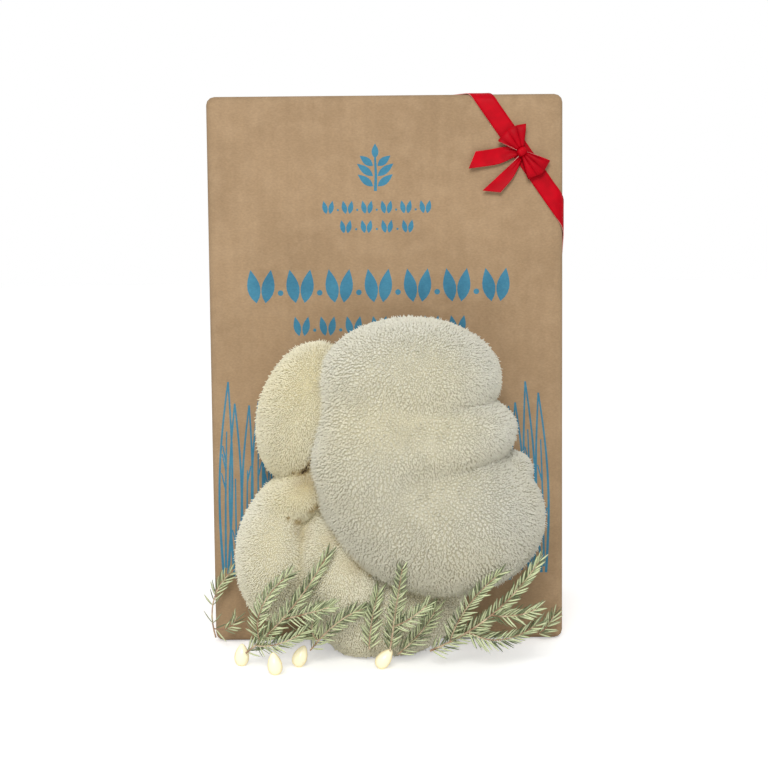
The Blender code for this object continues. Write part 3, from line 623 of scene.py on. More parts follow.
def scatter(mesh, spacing, chance):
    """Points at random over the part of a mesh that meets the air, never closer than the spacing."""
    mesh.calc_loop_triangles()
    points = mesh_points(mesh)
    corners = np.empty(len(mesh.loop_triangles) * 3, dtype=int)
    mesh.loop_triangles.foreach_get("vertices", corners)
    a, b, c = (points[corners.reshape(-1, 3)[:, i]] for i in range(3))
    area = np.linalg.norm(np.cross(b - a, c - a), axis=1) / 2
    open_to_air = ((a + b + c)[:, 1] / 3) < -WALL_GAP - 0.1
    area = np.where(open_to_air, area, 0)
    tries = int(area.sum() / spacing ** 2 * 4.5)
    picked = chance.choice(len(area), size=tries, p=area / area.sum())
    first, second = chance.random(tries), chance.random(tries)
    fold = first + second > 1
    first[fold], second[fold] = 1 - first[fold], 1 - second[fold]
    spots = a[picked] + first[:, None] * (b - a)[picked] + second[:, None] * (c - a)[picked]
    tree = search_tree(spots)
    free = np.ones(tries, dtype=bool)
    kept = []
    for i in range(tries):
        if free[i]:
            kept.append(i)
            for _, other, _ in tree.find_range(spots[i], spacing):
                free[other] = False
    return spots[kept]


def soft_noise(points, size, seed):
    """A smooth random value from about -1 to 1 at each point, which changes over the given size."""
    chance = np.random.default_rng(seed)
    total = np.zeros(len(points))
    waves = 14
    for _ in range(waves):
        direction = unit(chance.normal(size=3))
        pitch = size * chance.uniform(0.7, 1.5)
        total += np.sin(points @ direction * 2 * math.pi / pitch + chance.uniform(0, 2 * math.pi))
    return total / math.sqrt(waves / 2) / 1.6


def nearer(distance, others):
    """Near 1 where a form is nearer than the others, and near 0 elsewhere, with a soft border."""
    return 1 / (1 + np.exp(np.clip((distance - others) / 1.6, -30, 30)))


def age_and_painted_light_of(points):
    """How yellow the fungus is at each point, with age and with painted shade, how bruised it is, and how
    pale, with painted light and shade, from 0 to 1.
    """
    mass = group_distance(points, MAIN_MASS)
    forms = [mass] + [group_distance(points, names) for names, _ in OTHER_GROUPS]
    # Painted shade: near a crease between two groups of lobes the flesh is stained tan and painted darker.
    from_crease = np.maximum(np.sort(forms, axis=0)[1] + FLESH_DEPTH, 0)
    crease_stain_and_shade = np.exp(-(from_crease / CREASE_STAIN_AND_SHADE) ** 2)
    _, outward = flesh_slope(points)
    # Painted shade: where the flesh faces down it is painted tan and darker.
    underside_shade = np.clip(-outward[:, 2], 0, 1)
    left = group_distance(points, ("upper_left", "waist_left"))
    low = group_distance(points, ("low_left", "low_centre", "low_shoulder", "low_tip"))
    share_left = nearer(left, np.minimum(mass, low))
    share_low = nearer(low, np.minimum(mass, left))
    yellow = 0.30 + 0.55 * share_left + 0.12 * share_low + 0.12 * soft_noise(points, 45, 3)
    yellow += 0.45 * crease_stain_and_shade + 0.30 * underside_shade
    # The crown and the right side are the freshest, and cooler in colour.
    yellow -= 0.22 * np.clip((points[:, 0] - 25) / 30, 0, 1) + 0.25 * np.clip((points[:, 2] - 135) / 25, 0, 1)
    bruised = np.zeros(len(points))
    for centre, spread, strength in BRUISES:
        away = np.linalg.norm(points - np.array(centre), axis=1)
        bruised = np.maximum(bruised, strength * np.exp(-(away / spread) ** 2))
    # The main mass is a little greyer towards its foot. The low lobes are the whitest, painted paler as
    # painted light where the main mass shades them.
    grey = np.clip((120 - points[:, 2]) / 70, 0, 1) * (1 - share_left) * (1 - share_low)
    pale = 0.50 - 0.5 * grey + 0.50 * share_low + 0.28 * share_left - 0.35 * crease_stain_and_shade - 0.15 * underside_shade
    return np.clip(yellow, 0, 1), bruised, np.clip(pale, 0, 1)


def set_growth(mesh, *values):
    """Keeps four values at each vertex for the material: how far up it lies, its tint and its age. The tint
    and the yellow of age carry painted light and shade as well.
    """
    growth = mesh.attributes.new("growth", "FLOAT_COLOR", "POINT")
    growth.data.foreach_set("color", np.stack(values, axis=-1).astype(np.float32).ravel())


def spine_tips(spines):
    """Where the spines end."""
    lean = spines["way"] * (1 - SPINE_BEND) + spines["end"] * SPINE_BEND
    return spines["spot"] + spines["length"][:, None] * lean


def spine_mesh(name, spines):
    """Bent three-sided spines, each with a ring of corners sunk in the flesh, a ring further up and a tip."""
    count = len(spines["spot"])
    way = spines["way"]
    helper = np.where(np.abs(way[:, 2:3]) < 0.9, [[0, 0, 1.0]], [[1.0, 0, 0]])
    side = unit(np.cross(way, helper))
    other = np.cross(way, side)
    points, heights = [], []
    # Each ring: how far up the spine it lies, how wide it is, and how far it has turned over.
    for level, size, bend in ((-0.12, 0.85, 0.0), (0.76, 1.05, 0.30)):
        turned = way * (1 - bend) + spines["end"] * bend
        centre = spines["spot"] + spines["length"][:, None] * level * turned
        radius = SPINE_RADIUS * size * (1 - level * (1 - spines["fullness"]))
        for corner in range(3):
            angle = 2 * math.pi * corner / 3
            points.append(centre + (side * math.cos(angle) + other * math.sin(angle)) * radius[:, None])
            heights.append(np.full(count, max(level, 0.0)))
    points.append(spine_tips(spines))
    heights.append(np.ones(count))
    tip = len(points) - 1
    pattern = []
    for corner, following in ((0, 1), (1, 2), (2, 0)):
        pattern += [(corner, following, 3 + following), (corner, 3 + following, 3 + corner)]
        pattern.append((3 + corner, 3 + following, tip))
    faces = (np.arange(count)[:, None, None] * len(points) + np.array(pattern)[None]).reshape(-1, 3)
    mesh = bpy.data.meshes.new(name)
    mesh.vertices.add(count * len(points))
    mesh.loops.add(faces.size)
    mesh.polygons.add(len(faces))
    mesh.loops.foreach_set("vertex_index", faces.ravel())
    mesh.polygons.foreach_set("loop_start", np.arange(len(faces)) * 3)
    mesh.polygons.foreach_set("use_smooth", np.ones(len(faces), dtype=bool))
    set_mesh_points(mesh, np.stack(points, axis=1).reshape(-1, 3))
    mesh.update(calc_edges=True)
    ages = [np.repeat(spines[key][:, None], len(points), 1) for key in ("tint", "yellow", "bruised")]
    set_growth(mesh, np.stack(heights, axis=1), *ages)
    return mesh


def fungus_material(name, with_pores):
    """Matt cream flesh: painted shade in the depth of the pile, pale tips, yellow with age and with painted
    shade, brown where bruised, and a tint that carries painted light and shade.
    """
    flesh = new_material(name)
    growth = add_node(flesh, "Attribute", {"attribute_name": "growth"})
    height, tint, yellow = add_node(flesh, "SeparateColor", links={"Color": growth["Color"]})
    # Painted shade: the spines are darkest at their feet, deep in the pile, and palest from halfway up to
    # their tips.
    along = add_node(flesh, "MapRange", {"From Min": 0.05, "From Max": 0.5}, {"Value": height})[0]
    fresh = add_node(flesh, "Mix", {**MIX, FIRST: "#C0BBA6", SECOND: "#EFEDDF"},
                     {SHARE: along})[MIXED]
    yellowed = add_node(flesh, "Mix", {**MIX, FIRST: "#C9BE93", SECOND: "#F3ECCE"},
                    {SHARE: along})[MIXED]
    colour = add_node(flesh, "Mix", MIX, {SHARE: yellow, FIRST: fresh, SECOND: yellowed})[MIXED]
    shade = add_node(flesh, "MapRange", {"To Min": 0.87, "To Max": 1.10}, {"Value": tint})[0]
    colour = add_node(flesh, "Mix", MULTIPLY, {FIRST: colour, SECOND: shade})[MIXED]
    # A faint bruise is a tan stain, and a strong one turns dark brown.
    for low, high, bruise_colour in ((0, 0.4, "#CBB88A"), (0.4, 0.85, "#3A2008")):
        bruise = add_node(flesh, "MapRange", {"From Min": low, "From Max": high},
                          {"Value": growth["Alpha"]})[0]
        colour = add_node(flesh, "Mix", {**MIX, SECOND: bruise_colour},
                          {SHARE: bruise, FIRST: colour})[MIXED]
    links = {"Base Color": colour}
    if with_pores:
        spot = add_node(flesh, "TexCoord")["Object"]
        pores = add_node(flesh, "TexNoise", {"Scale": 1 / (1.2 * MM), "Detail": 2}, {"Vector": spot})[0]
        bump = add_node(flesh, "Bump", {"Strength": 0.6, "Distance": 0.4 * MM}, {"Height": pores})[0]
        links["Normal"] = bump
    return finish_material(flesh, {"Roughness": 0.75}, links)


fungus_flesh = fungus_material("fungus_flesh_cream", with_pores=True)
fungus_spines = fungus_material("fungus_spines_cream", with_pores=False)

flesh_mesh = grow_flesh()
flesh_points = mesh_points(flesh_mesh)
flesh_yellow, flesh_bruised, flesh_pale = age_and_painted_light_of(flesh_points)
# The flesh takes the dark colour of the spines' feet, as painted shade between them.
set_growth(flesh_mesh, np.full(len(flesh_points), 0.12), flesh_pale, flesh_yellow, flesh_bruised)
new_piece("fruiting_body_flesh", flesh_mesh, [fungus_flesh], ["fruiting_body"],
          smooth_angle=60)

spine_chance = np.random.default_rng(8)
spots = scatter(flesh_mesh, SPINE_SPACING, spine_chance)
_, outward = flesh_slope(spots)
outward = unit(outward)
down = np.array([0, 0, -1.0])
tuft_centres = scatter(flesh_mesh, TUFT_SIZE, spine_chance)
tuft_tree = search_tree(tuft_centres)
nearest_tuft = np.array([tuft_tree.find(spot)[1] for spot in spots])
tuft = (tuft_centres[nearest_tuft] - spots) * (TUFT_LEAN * (1 + 0.5 * soft_noise(spots, 14, 22)))[:, None]
beside_mass = np.minimum.reduce([group_distance(spots, names) for names, _ in OTHER_GROUPS])
on_main_mass = group_distance(spots, MAIN_MASS) < beside_mass
# The side lobes, the crown and the right side are the smoothest, and the foot of the mass the most cracked.
cracked = np.clip(1.35 - (spots[:, 2] - 60) / 150 - spots[:, 0] / 120, 0.5, 1.2)
tuft *= np.where(on_main_mass, cracked, 0.35)[:, None]
stray = spine_chance.normal(scale=1.0, size=spots.shape)
way = unit(outward + SPINE_DROOP * down + tuft + 0.08 * stray)
# A spine that would lie in the flesh is raised.
sunk = (way * outward).sum(axis=1) < 0.45
way[sunk] += 0.8 * outward[sunk]
way = unit(way)
end = unit(way + SPINE_DROOP * down + 0.6 * tuft)
length = SPINE_LENGTH * spine_chance.uniform(*LENGTH_SPREAD, len(spots))
length *= 1 + 0.10 * soft_noise(spots, 9, 31)
is_stray = spine_chance.random(len(spots)) < STRAY_SHARE
length[is_stray] *= STRAY_LENGTH
spines = {"spot": spots, "way": way, "end": end, "length": length, "on_main_mass": on_main_mass,
          "fullness": np.where(is_stray, STRAY_FULLNESS, 1.0)}
# Spines stay short in a crease, where they would grow into the next lobe.
for _ in range(5):
    crowded = flesh_distance(spine_tips(spines)) < 0.55 * length
    length[crowded] *= 0.82
np.maximum(length, 0.8, out=length)
# None grows into the carton's front or into the table.
tips = spine_tips(spines)
blocked = (tips[:, 1] > -0.5) | (tips[:, 2] < 0.6)
spines = {key: values[~blocked] for key, values in spines.items()}
spots = spines["spot"]
spines["yellow"], spines["bruised"], spine_pale = age_and_painted_light_of(spots)
spine_pale += spine_chance.normal(0, 0.13, len(spots)) + 0.06 * soft_noise(spots, 6, 41)
spines["tint"] = np.clip(spine_pale, 0, 1)

# Each piece of the coat: whether it is on the main mass, and the heights between which it lies.
COAT = {
    "spines_top": (True, 123, 999),
    "spines_upper": (True, 102, 123),
    "spines_middle": (True, 84, 102),
    "spines_lower": (True, 64, 84),
    "spines_bottom": (True, -9, 64),
    "spines_left_upper": (False, 58, 999),
    "spines_left_lower": (False, -9, 58),
}
for coat_name, (on_mass, coat_low, coat_high) in COAT.items():
    chosen = (spines["on_main_mass"] == on_mass) & (spots[:, 2] >= coat_low) & (spots[:, 2] < coat_high)
    coat_mesh = spine_mesh(coat_name, {key: values[chosen] for key, values in spines.items()})
    print(coat_name, int(chosen.sum()), "spines", len(coat_mesh.polygons), "triangles")
    new_piece(coat_name, coat_mesh, [fungus_spines])


# Ribbon and bow
#
# A 9 mm satin ribbon, woven from red polyester with a selvedge on each edge. It is stuck to the top, lies
# across the front's corner and ends on the right side. The bow is made of the same ribbon: two gathered
# loops and two tails, cut slanted, all held by a wrapped knot.

RIBBON_WIDTH = 9
RIBBON_THICKNESS = 0.4
RIBBON_START = Vector((47, CARTON_HEIGHT))
RIBBON_END = Vector((CARTON_WIDTH / 2, CARTON_HEIGHT - 57.5))
RIBBON_TOP_END = 34
RIBBON_SIDE_END = 28
THREAD_PITCH = 0.35
KNOT_LENGTH = 4.4
KNOT_WIDTH = 5
KNOT_HEIGHT = 4
LOOP_RISE = 5
ribbon_along = (RIBBON_END - RIBBON_START).normalized()
ribbon_beside = Vector((-ribbon_along.y, ribbon_along.x)) * RIBBON_WIDTH / 2
knot_centre = RIBBON_START + (RIBBON_END - RIBBON_START) * 0.49
# Where the rounded folds to the right side and to the top begin, and how long they are.
FOLD_ACROSS = CARTON_WIDTH / 2 - FOLD_RADIUS
FOLD_UP = CARTON_HEIGHT - FOLD_RADIUS
FOLD_LENGTH = FOLD_RADIUS * math.pi / 2
# The middle of the band's thickness, and its outer face, off the carton.
BAND_LEVEL = WALL_GAP + RIBBON_THICKNESS / 2
BAND_TOP = WALL_GAP + RIBBON_THICKNESS


def satin(name, dark, bright):
    """Satin: long floats of thread that shine softly along one way, with a fine cross weave, and painted
    shade in the folds of its pleats.
    """
    cloth = new_material(name)
    spot = add_node(cloth, "TexCoord")["Object"]
    waves = add_node(cloth, "TexNoise", {"Scale": 1 / (7 * MM), "Detail": 2}, {"Vector": spot})[0]
    waves = add_node(cloth, "MapRange", {"From Min": 0.35, "From Max": 0.65}, {"Value": waves})[0]
    colour = add_node(cloth, "Mix", {**MIX, FIRST: dark, SECOND: bright},
                      {SHARE: waves})[MIXED]
    # The threads are drawn twice as coarse as real, so that they show.
    threads = add_node(cloth, "TexWave", {"bands_direction": "DIAGONAL", "Distortion": 0.4,
                                          "Scale": wave_scale(THREAD_PITCH) / math.sqrt(3)},
                       {"Vector": spot})["Fac"]
    weave = add_node(cloth, "MapRange", {"To Min": 0.95, "To Max": 1.04}, {"Value": threads})[0]
    colour = add_node(cloth, "Mix", MULTIPLY, {FIRST: colour, SECOND: weave})[MIXED]
    # Painted shade: where the ribbon is pleated it is painted darker, most deep in the folds.
    painted_fold_shade = add_node(cloth, "Attribute", {"attribute_name": "pleat"})["Fac"]
    pleat_shade = add_node(cloth, "MapRange", {"To Min": 1.0, "To Max": 0.45}, {"Value": painted_fold_shade})[0]
    colour = add_node(cloth, "Mix", MULTIPLY, {FIRST: colour, SECOND: pleat_shade})[MIXED]
    bump = add_node(cloth, "Bump", {"Strength": 0.15, "Distance": 0.05 * MM}, {"Height": threads})[0]
    return finish_material(cloth, {"Roughness": 0.5, "Specular IOR Level": 0.08},
                           {"Base Color": colour, "Normal": bump})


red_satin = satin("red_satin", "#AE0014", "#C40018")
# The cut edge of the ribbon shows its paler threads.
selvedge = finish_material(new_material("pale_selvedge"), {"Base Color": "#E59A92", "Roughness": 0.7})


def round_fold(past, height):
    """How far back, and how far out, a point lies that has run this far past the start of a fold."""
    turned = min(past, FOLD_LENGTH)
    angle = turned / FOLD_RADIUS
    back = FOLD_RADIUS - (FOLD_RADIUS + height) * math.cos(angle) + past - turned
    return back, (FOLD_RADIUS + height) * math.sin(angle)


def on_carton(across, up, height):
    """The point at a height above the skin of the front, folded over to the top or the right side."""
    if up > FOLD_UP:
        back, out = round_fold(up - FOLD_UP, height)
        return place(across, back, FOLD_UP + out)
    if across > FOLD_ACROSS:
        back, out = round_fold(across - FOLD_ACROSS, height)
        return place(FOLD_ACROSS + out, back, up)
    return place(across, -height, up)


def quads_between(rows, closed=False):
    """The corners of the faces between rows of points. Closed rows run all the way round."""
    count = len(rows[0])
    quads = []
    for near, far in zip(rows, rows[1:]):
        for i in range(count if closed else count - 1):
            j = (i + 1) % count
            quads.append((near[i], near[j], far[j], far[i]))
    return quads


def ribbon_piece(name, rows, replaced, painted_fold_shade=None):
    """A strip of ribbon through rows of points. The painted fold shade, if given, darkens each point, most
    deep in a fold.
    """
    shape = bmesh.new()
    for corners in quads_between([[shape.verts.new(point) for point in row] for row in rows]):
        shape.faces.new(corners)
    bmesh.ops.recalc_face_normals(shape, faces=shape.faces[:])
    mesh = finished_mesh(name, shape)
    if painted_fold_shade is not None:
        pleat = mesh.attributes.new("pleat", "FLOAT", "POINT")
        pleat.data.foreach_set("value", np.array(painted_fold_shade, float).ravel())
    piece = new_piece(name, mesh, [red_satin, selvedge], replaced, smooth_angle=50)
    solid = piece.modifiers.new("thickness", "SOLIDIFY")
    solid.thickness = RIBBON_THICKNESS * MM
    solid.offset = 0.0
    solid.use_even_offset = True
    solid.material_offset_rim = 1


def band_rows():
    """Rows of points along the band across the corner, close together where it folds over an edge."""
    # The two selvedges stand a little proud.
    lifts = [0.05, 0.0, 0.0, 0.0, 0.0, 0.0, 0.05]
    lines = [RIBBON_START + ribbon_beside * (2 * i / (len(lifts) - 1) - 1) for i in range(len(lifts))]
    fold_steps = [step / 6 for step in range(7)]
    end_steps = [0.25, 0.5, 0.75, 1.0]

    def at_level(line, level):
        return line + ribbon_along * ((level - line.y) / ribbon_along.y)

    def at_column(line, column):
        return line + ribbon_along * ((column - line.x) / ribbon_along.x)

    levels = [FOLD_UP + FOLD_LENGTH + RIBBON_TOP_END * share for share in end_steps[::-1]]
    levels += [FOLD_UP + FOLD_LENGTH * (1 - share) for share in fold_steps]
    columns = [FOLD_ACROSS + FOLD_LENGTH * share for share in fold_steps]
    columns += [FOLD_ACROSS + FOLD_LENGTH + RIBBON_SIDE_END * share for share in end_steps]
    rows = [[on_carton(*at_level(line, level), BAND_LEVEL + lift) for line, lift in zip(lines, lifts)]
            for level in levels]
    middle_steps = 24
    for step in range(1, middle_steps):
        share = step / middle_steps
        row = []
        for line, lift in zip(lines, lifts):
            spot = at_level(line, FOLD_UP).lerp(at_column(line, FOLD_ACROSS), share)
            sway = max(0.10 * math.sin(share * 9 + line.x * 0.3), 0)
            row.append(on_carton(*spot, BAND_LEVEL + lift + sway))
        rows.append(row)
    rows += [[on_carton(*at_column(line, column), BAND_LEVEL + lift) for line, lift in zip(lines, lifts)]
             for column in columns]
    return rows


def bow_point(right, up, height):
    """A point of the bow, measured from the middle of the knot and off the carton."""
    return place(knot_centre.x + right, -height, knot_centre.y + up)


# Each loop: its heading in degrees, its reach, the width of its end, and how far each of its folds reaches.
LOOPS = {
    "bow_loop_upper": (118, 11.6, 15.8, (0.93, 1.05, 1.10, 1.02, 0.86)),
    "bow_loop_lower": (-47, 11.8, 13.8, (0.98, 1.1, 1.21, 1.14, 1.05)),
}


def loop_rows(heading, reach_out, end_width, fold_reach):
    """A loop that leaves the knot gathered in pleats, opens like a fan and folds back above itself. It comes
    with each point's painted shade.
    """
    turn = math.radians(heading)
    along = Vector((math.cos(turn), math.sin(turn)))
    beside = Vector((-along.y, along.x))
    root = KNOT_LENGTH / 2 - 0.6
    root_width = KNOT_WIDTH * 0.62
    root_opening = 0.35
    pleat_depth, pleat_count = 0.75, 3.3
    base_level = BAND_TOP + WALL_GAP + RIBBON_THICKNESS + KNOT_HEIGHT / 2
    steps, columns = 36, 61
    rows, painted_fold_shade = [], []
    for step in range(steps + 1):
        share = step / steps
        out = math.sin(math.pi * share) ** 0.8 if 0 < share < 1 else 0.0
        opening = root_opening + (LOOP_RISE / 2 - root_opening) * out ** 0.7
        level = base_level + LOOP_RISE * 0.10 * out - opening * math.cos(math.pi * share)
        width = root_width + (end_width - root_width) * out ** 0.95
        row, fold_shade_row = [], []
        for column in range(columns):
            side = column / (columns - 1)
            fold = np.interp(side, np.linspace(0, 1, len(fold_reach)), fold_reach)
            spot = along * (root + (reach_out * fold - root) * out) + beside * (width * (side - 0.5))
            folds = 2 * abs(math.cos(math.pi * pleat_count * (side - 0.5) + 0.5)) ** 0.5 - 1
            pleat = pleat_depth * (0.22 + 0.78 * (1 - out)) * folds * min(1.0, 0.25 + 1.6 * out)
            row.append(bow_point(*spot, level + pleat))
            # Painted shade: the whole loop is painted a little darker, and darkest deep in its folds near the
            # knot.
            fold_shade_row.append(0.22 + 0.78 * (0.5 - 0.5 * folds) ** 1.5 * (1 - 0.55 * out))
        rows.append(row)
        painted_fold_shade.append(fold_shade_row)
    return rows, painted_fold_shade


# Each tail: pairs of edge points from the knot to the end, as places to the right of the knot and above it,
# and the height of each pair off the band, in millimetres.
TAILS = {
    "bow_tail_left": [((-1.0, 1.4), (-1.2, -1.2), 0.0), ((-8.0, 2.5), (-4.5, -3.0), 0.4),
                      ((-15, 1.4), (-12, -6.0), 0.8), ((-22.5, 0.4), (-26, -8.0), 2.0)],
    "bow_tail_lower": [((-1.2, -1.8), (0.8, -2.2), 0.0), ((-5.5, -6.0), (-1.8, -8.0), 0.5),
                       ((-12.0, -12.0), (-5.0, -13.5), 1.0), ((-19.3, -18.6), (-10.5, -19.6), 1.8)],
}


def smooth_between(values, share):
    """A value on the smooth curve through evenly spaced values."""
    last = len(values) - 1
    i = min(int(share * last), last - 1)
    t = share * last - i
    before, start, end, after = (np.array(values[min(max(k, 0), last)], float) for k in range(i - 1, i + 3))
    return 0.5 * (2 * start + (end - before) * t + (2 * before - 5 * start + 4 * end - after) * t * t
                  + (3 * start - before - 3 * end + after) * t ** 3)


def tail_rows(edges):
    """A loose end of the ribbon, gathered near the knot and flat at its cut end."""
    steps, columns = 30, 17
    rows = []
    for step in range(steps + 1):
        share = step / steps
        one = smooth_between([edge[0] for edge in edges], share)
        two = smooth_between([edge[1] for edge in edges], share)
        lift = smooth_between([edge[2] for edge in edges], share)
        level = BAND_TOP + WALL_GAP + RIBBON_THICKNESS / 2 + max(lift, 0)
        row = []
        for column in range(columns):
            side = column / (columns - 1)
            gather = 0.45 * max(0.0, 1 - share * 2.2) * (1 + math.cos(2 * math.pi * 2.5 * side))
            cup = 0.35 * share * (2 * side - 1) ** 2
            row.append(bow_point(*(one + (two - one) * side), level + gather + cup))
        rows.append(row)
    return rows


def knot_mesh():
    """The wrapped knot: a short pillow with pinched ends and creases along the ribbon that wraps it."""
    around, lengthwise = 40, 20
    base = BAND_TOP + WALL_GAP + RIBBON_THICKNESS + WALL_GAP
    beside = Vector((-ribbon_along.y, ribbon_along.x))
    shape = bmesh.new()
    loops = []
    for i in range(lengthwise + 1):
        share = 2 * i / lengthwise - 1
        swell = (1 - abs(share) ** 2.6) ** 0.42 if abs(share) < 1 else 0.0
        loop = []
        for j in range(around):
            angle = 2 * math.pi * j / around
            crease = 1 + 0.05 * math.cos(5 * angle + 1.2) + 0.03 * math.cos(9 * angle)
            across = KNOT_WIDTH / 2 * swell * crease * math.cos(angle)
            level = base + KNOT_HEIGHT / 2 * (1 + swell * crease * math.sin(angle))
            spot = ribbon_along * (KNOT_LENGTH / 2 * share) + beside * across
            loop.append(shape.verts.new(bow_point(*spot, max(level, base))))
        loops.append(loop)
    for corners in quads_between(loops, closed=True):
        shape.faces.new(corners)
    bmesh.ops.remove_doubles(shape, verts=shape.verts[:], dist=1e-7)
    bmesh.ops.recalc_face_normals(shape, faces=shape.faces[:])
    return finished_mesh("bow_knot_wrapped", shape)


ribbon_piece("ribbon_band", band_rows(), ["ribbon"])
for loop_name, loop in LOOPS.items():
    loop_points, loop_fold_shade = loop_rows(*loop)
    ribbon_piece(loop_name + "_pleated", loop_points, [loop_name], loop_fold_shade)
for tail_name, tail in TAILS.items():
    ribbon_piece(tail_name + "_curled", tail_rows(tail), [tail_name])
new_piece("bow_knot_wrapped", knot_mesh(), [red_satin], ["bow_knot"], smooth_angle=60)


# Sprigs
#
# Cut spruce twigs, woody and brown, with flat waxy needles on all sides that lean to the tip. Each needle
# is grey-green, painted pale along one edge and dark along the other as painted highlight and shade, and
# dark needles behind the pale ones stand partly for the shade between them. The stems and side shoots
# stand at the foot of the carton and lie against the fungus.

# Each stem: three points of its curve from the foot to the tip, and its radius at the foot, in millimetres.
STEMS = {
    "sprig_left": ([(-67.5, -49, 7), (-46, -56.8, 29), (-28, -60, 56)], 1.1),
    "sprig_middle": ([(-37.2, -49, 8), (-24, -57, 23), (-12, -56.2, 29)], 0.9),
    "sprig_small": ([(-9.5, -53, 9), (-8, -56.4, 24), (-5, -56.8, 37)], 0.8),
    "sprig_centre": ([(0.3, -56, 9.2), (3, -64, 30), (6, -80.8, 53)], 1.0),
    "sprig_low": ([(4, -50.2, 6), (15, -51.5, 17), (22, -51.4, 28)], 0.8),
    "sprig_right": ([(19, -52, 8), (47, -62, 27), (69, -64, 52.5)], 1.2),
    "sprig_edge": ([(-86, -7, 4), (-86, -8, 25), (-73, -10.2, 41)], 0.9),
    "sprig_corner": ([(74, -5, 4), (78, -5, 7), (82, -5, 13)], 0.7),
}
# Each side shoot: its stem, how far along the stem it forks, and its middle and tip.
SHOOTS = {
    "sprig_left_shoot_1": ("sprig_left", 0.15, (-59, -60, 31), (-46, -62, 47)),
    "sprig_left_shoot_2": ("sprig_left", 0.42, (-36, -66, 30), (-27, -68, 33)),
    "sprig_left_shoot_3": ("sprig_left", 0.12, (-51.5, -61, 14.2), (-39.5, -61.7, 20)),
    "sprig_middle_shoot": ("sprig_middle", 0.15, (-36, -56, 20), (-33, -57, 30)),
    "sprig_centre_shoot": ("sprig_centre", 0.30, (10, -70, 28), (17, -71, 34)),
    "sprig_right_shoot_1": ("sprig_right", 0.15, (36, -69.5, 33), (50, -80, 50.5)),
    "sprig_right_shoot_2": ("sprig_right", 0.50, (58, -67, 28), (68, -66, 31)),
    "sprig_right_shoot_3": ("sprig_right", 0.28, (52, -60, 15), (69, -58, 22)),
    "sprig_edge_shoot": ("sprig_edge", 0.12, (-79, -11, 10), (-75, -12, 16)),
}
SHOOT_RADIUS = 0.7
# The radii are the solid's, which stands for the feet of the needles too. The bare wood is thinner.
WOOD_SHARE = 0.45
TWIG_TIP_RADIUS = 0.22
NEEDLE_LENGTH = 7.2
NEEDLE_WIDTH = 0.52
NEEDLE_SPACING = 1.0
# How far a needle's end has turned towards the twig's tip, as a share of its length.
NEEDLE_BEND = 0.22
# How far a needle leans from its twig, in degrees.
NEEDLE_LEAN = (32, 60)
# Most needles at the sides are pale and drawn wider than the dark ones, which lie behind them partly as
# painted shade.
PALE_CHANCE = 0.8
PALE_NEEDLE = {"width": 1.65 * NEEDLE_WIDTH, "tint": (0.75, 1.0)}
DARK_NEEDLE = {"width": 1.15 * NEEDLE_WIDTH, "tint": (0.05, 0.5)}
# The stretch of a stem, from its foot, that keeps only a few needles, and the share that it has lost there.
BARE_STRETCH = {"sprig_edge": 0.35, "sprig_edge_shoot": 0.2}
BARE_LOST = 0.85
# The share of its other needles that a stem has lost.
LOST_SHARE = {"sprig_edge": 0.45, "sprig_edge_shoot": 0.2}

# Waxy needles are painted dark green along one edge as painted shade and pale grey-green along the other as
# painted highlight, and their tips are drier.
needles = new_material("spruce_needles")
needle_growth = add_node(needles, "Attribute", {"attribute_name": "growth"})["Color"]
needle_along, needle_tint, needle_painted_light = add_node(needles, "SeparateColor", links={"Color": needle_growth})
needle_shaded_edge_colour = add_node(needles, "Mix", {**MIX, FIRST: "#293B1E", SECOND: "#D8E6B0"},
                       {SHARE: needle_tint})[MIXED]
needle_lit_edge_colour = add_node(needles, "Mix", {**MIX, FIRST: "#64784A", SECOND: "#FAFDD4"},
                       {SHARE: needle_tint})[MIXED]
# Painted light: each needle runs from its dark, shaded edge to its pale, lit edge.
needle_colour = add_node(needles, "Mix", MIX,
                         {SHARE: needle_painted_light, FIRST: needle_shaded_edge_colour, SECOND: needle_lit_edge_colour})[MIXED]
tip_share = add_node(needles, "MapRange", {"From Min": 0.7, "To Max": 0.2}, {"Value": needle_along})[0]
needle_colour = add_node(needles, "Mix", {**MIX, SECOND: "#6A7244"},
                         {SHARE: tip_share, FIRST: needle_colour})[MIXED]
finish_material(needles, {"Roughness": 0.5, "Specular IOR Level": 0.4}, {"Base Color": needle_colour})

# Young bark is pale tan with red-brown stretches, and finely ridged along the twig.
bark = new_material("young_bark")
bark_spot = add_node(bark, "TexCoord")["Object"]
bark_bands = add_node(bark, "TexNoise", {"Scale": 1 / (6 * MM), "Detail": 3}, {"Vector": bark_spot})[0]
bark_bands = add_node(bark, "MapRange", {"From Min": 0.4, "From Max": 0.6}, {"Value": bark_bands})[0]
bark_colour = add_node(bark, "Mix", {**MIX, FIRST: "#A07A60", SECOND: "#DCC6A8"},
                       {SHARE: bark_bands})[MIXED]
bark_spot = add_node(bark, "Mapping", {"Scale": (1, 1, 0.3)}, {"Vector": bark_spot})[0]
bark_ridges = add_node(bark, "TexNoise", {"Scale": 1 / (0.8 * MM), "Detail": 2}, {"Vector": bark_spot})[0]
bark_bump = add_node(bark, "Bump", {"Strength": 0.4, "Distance": 0.15 * MM}, {"Height": bark_ridges})[0]
finish_material(bark, {"Roughness": 0.7}, {"Base Color": bark_colour, "Normal": bark_bump})


def curve_through(first, middle, last, count):
    """Points and headings at even steps along the smooth curve through three points."""
    first, middle, last = (np.array(point, float) for point in (first, middle, last))
    control = 2 * middle - (first + last) / 2
    share = np.linspace(0, 1, count + 1)[:, None]
    spots = (1 - share) ** 2 * first + 2 * share * (1 - share) * control + share ** 2 * last
    return spots, unit(2 * (1 - share) * (control - first) + 2 * share * (last - control))


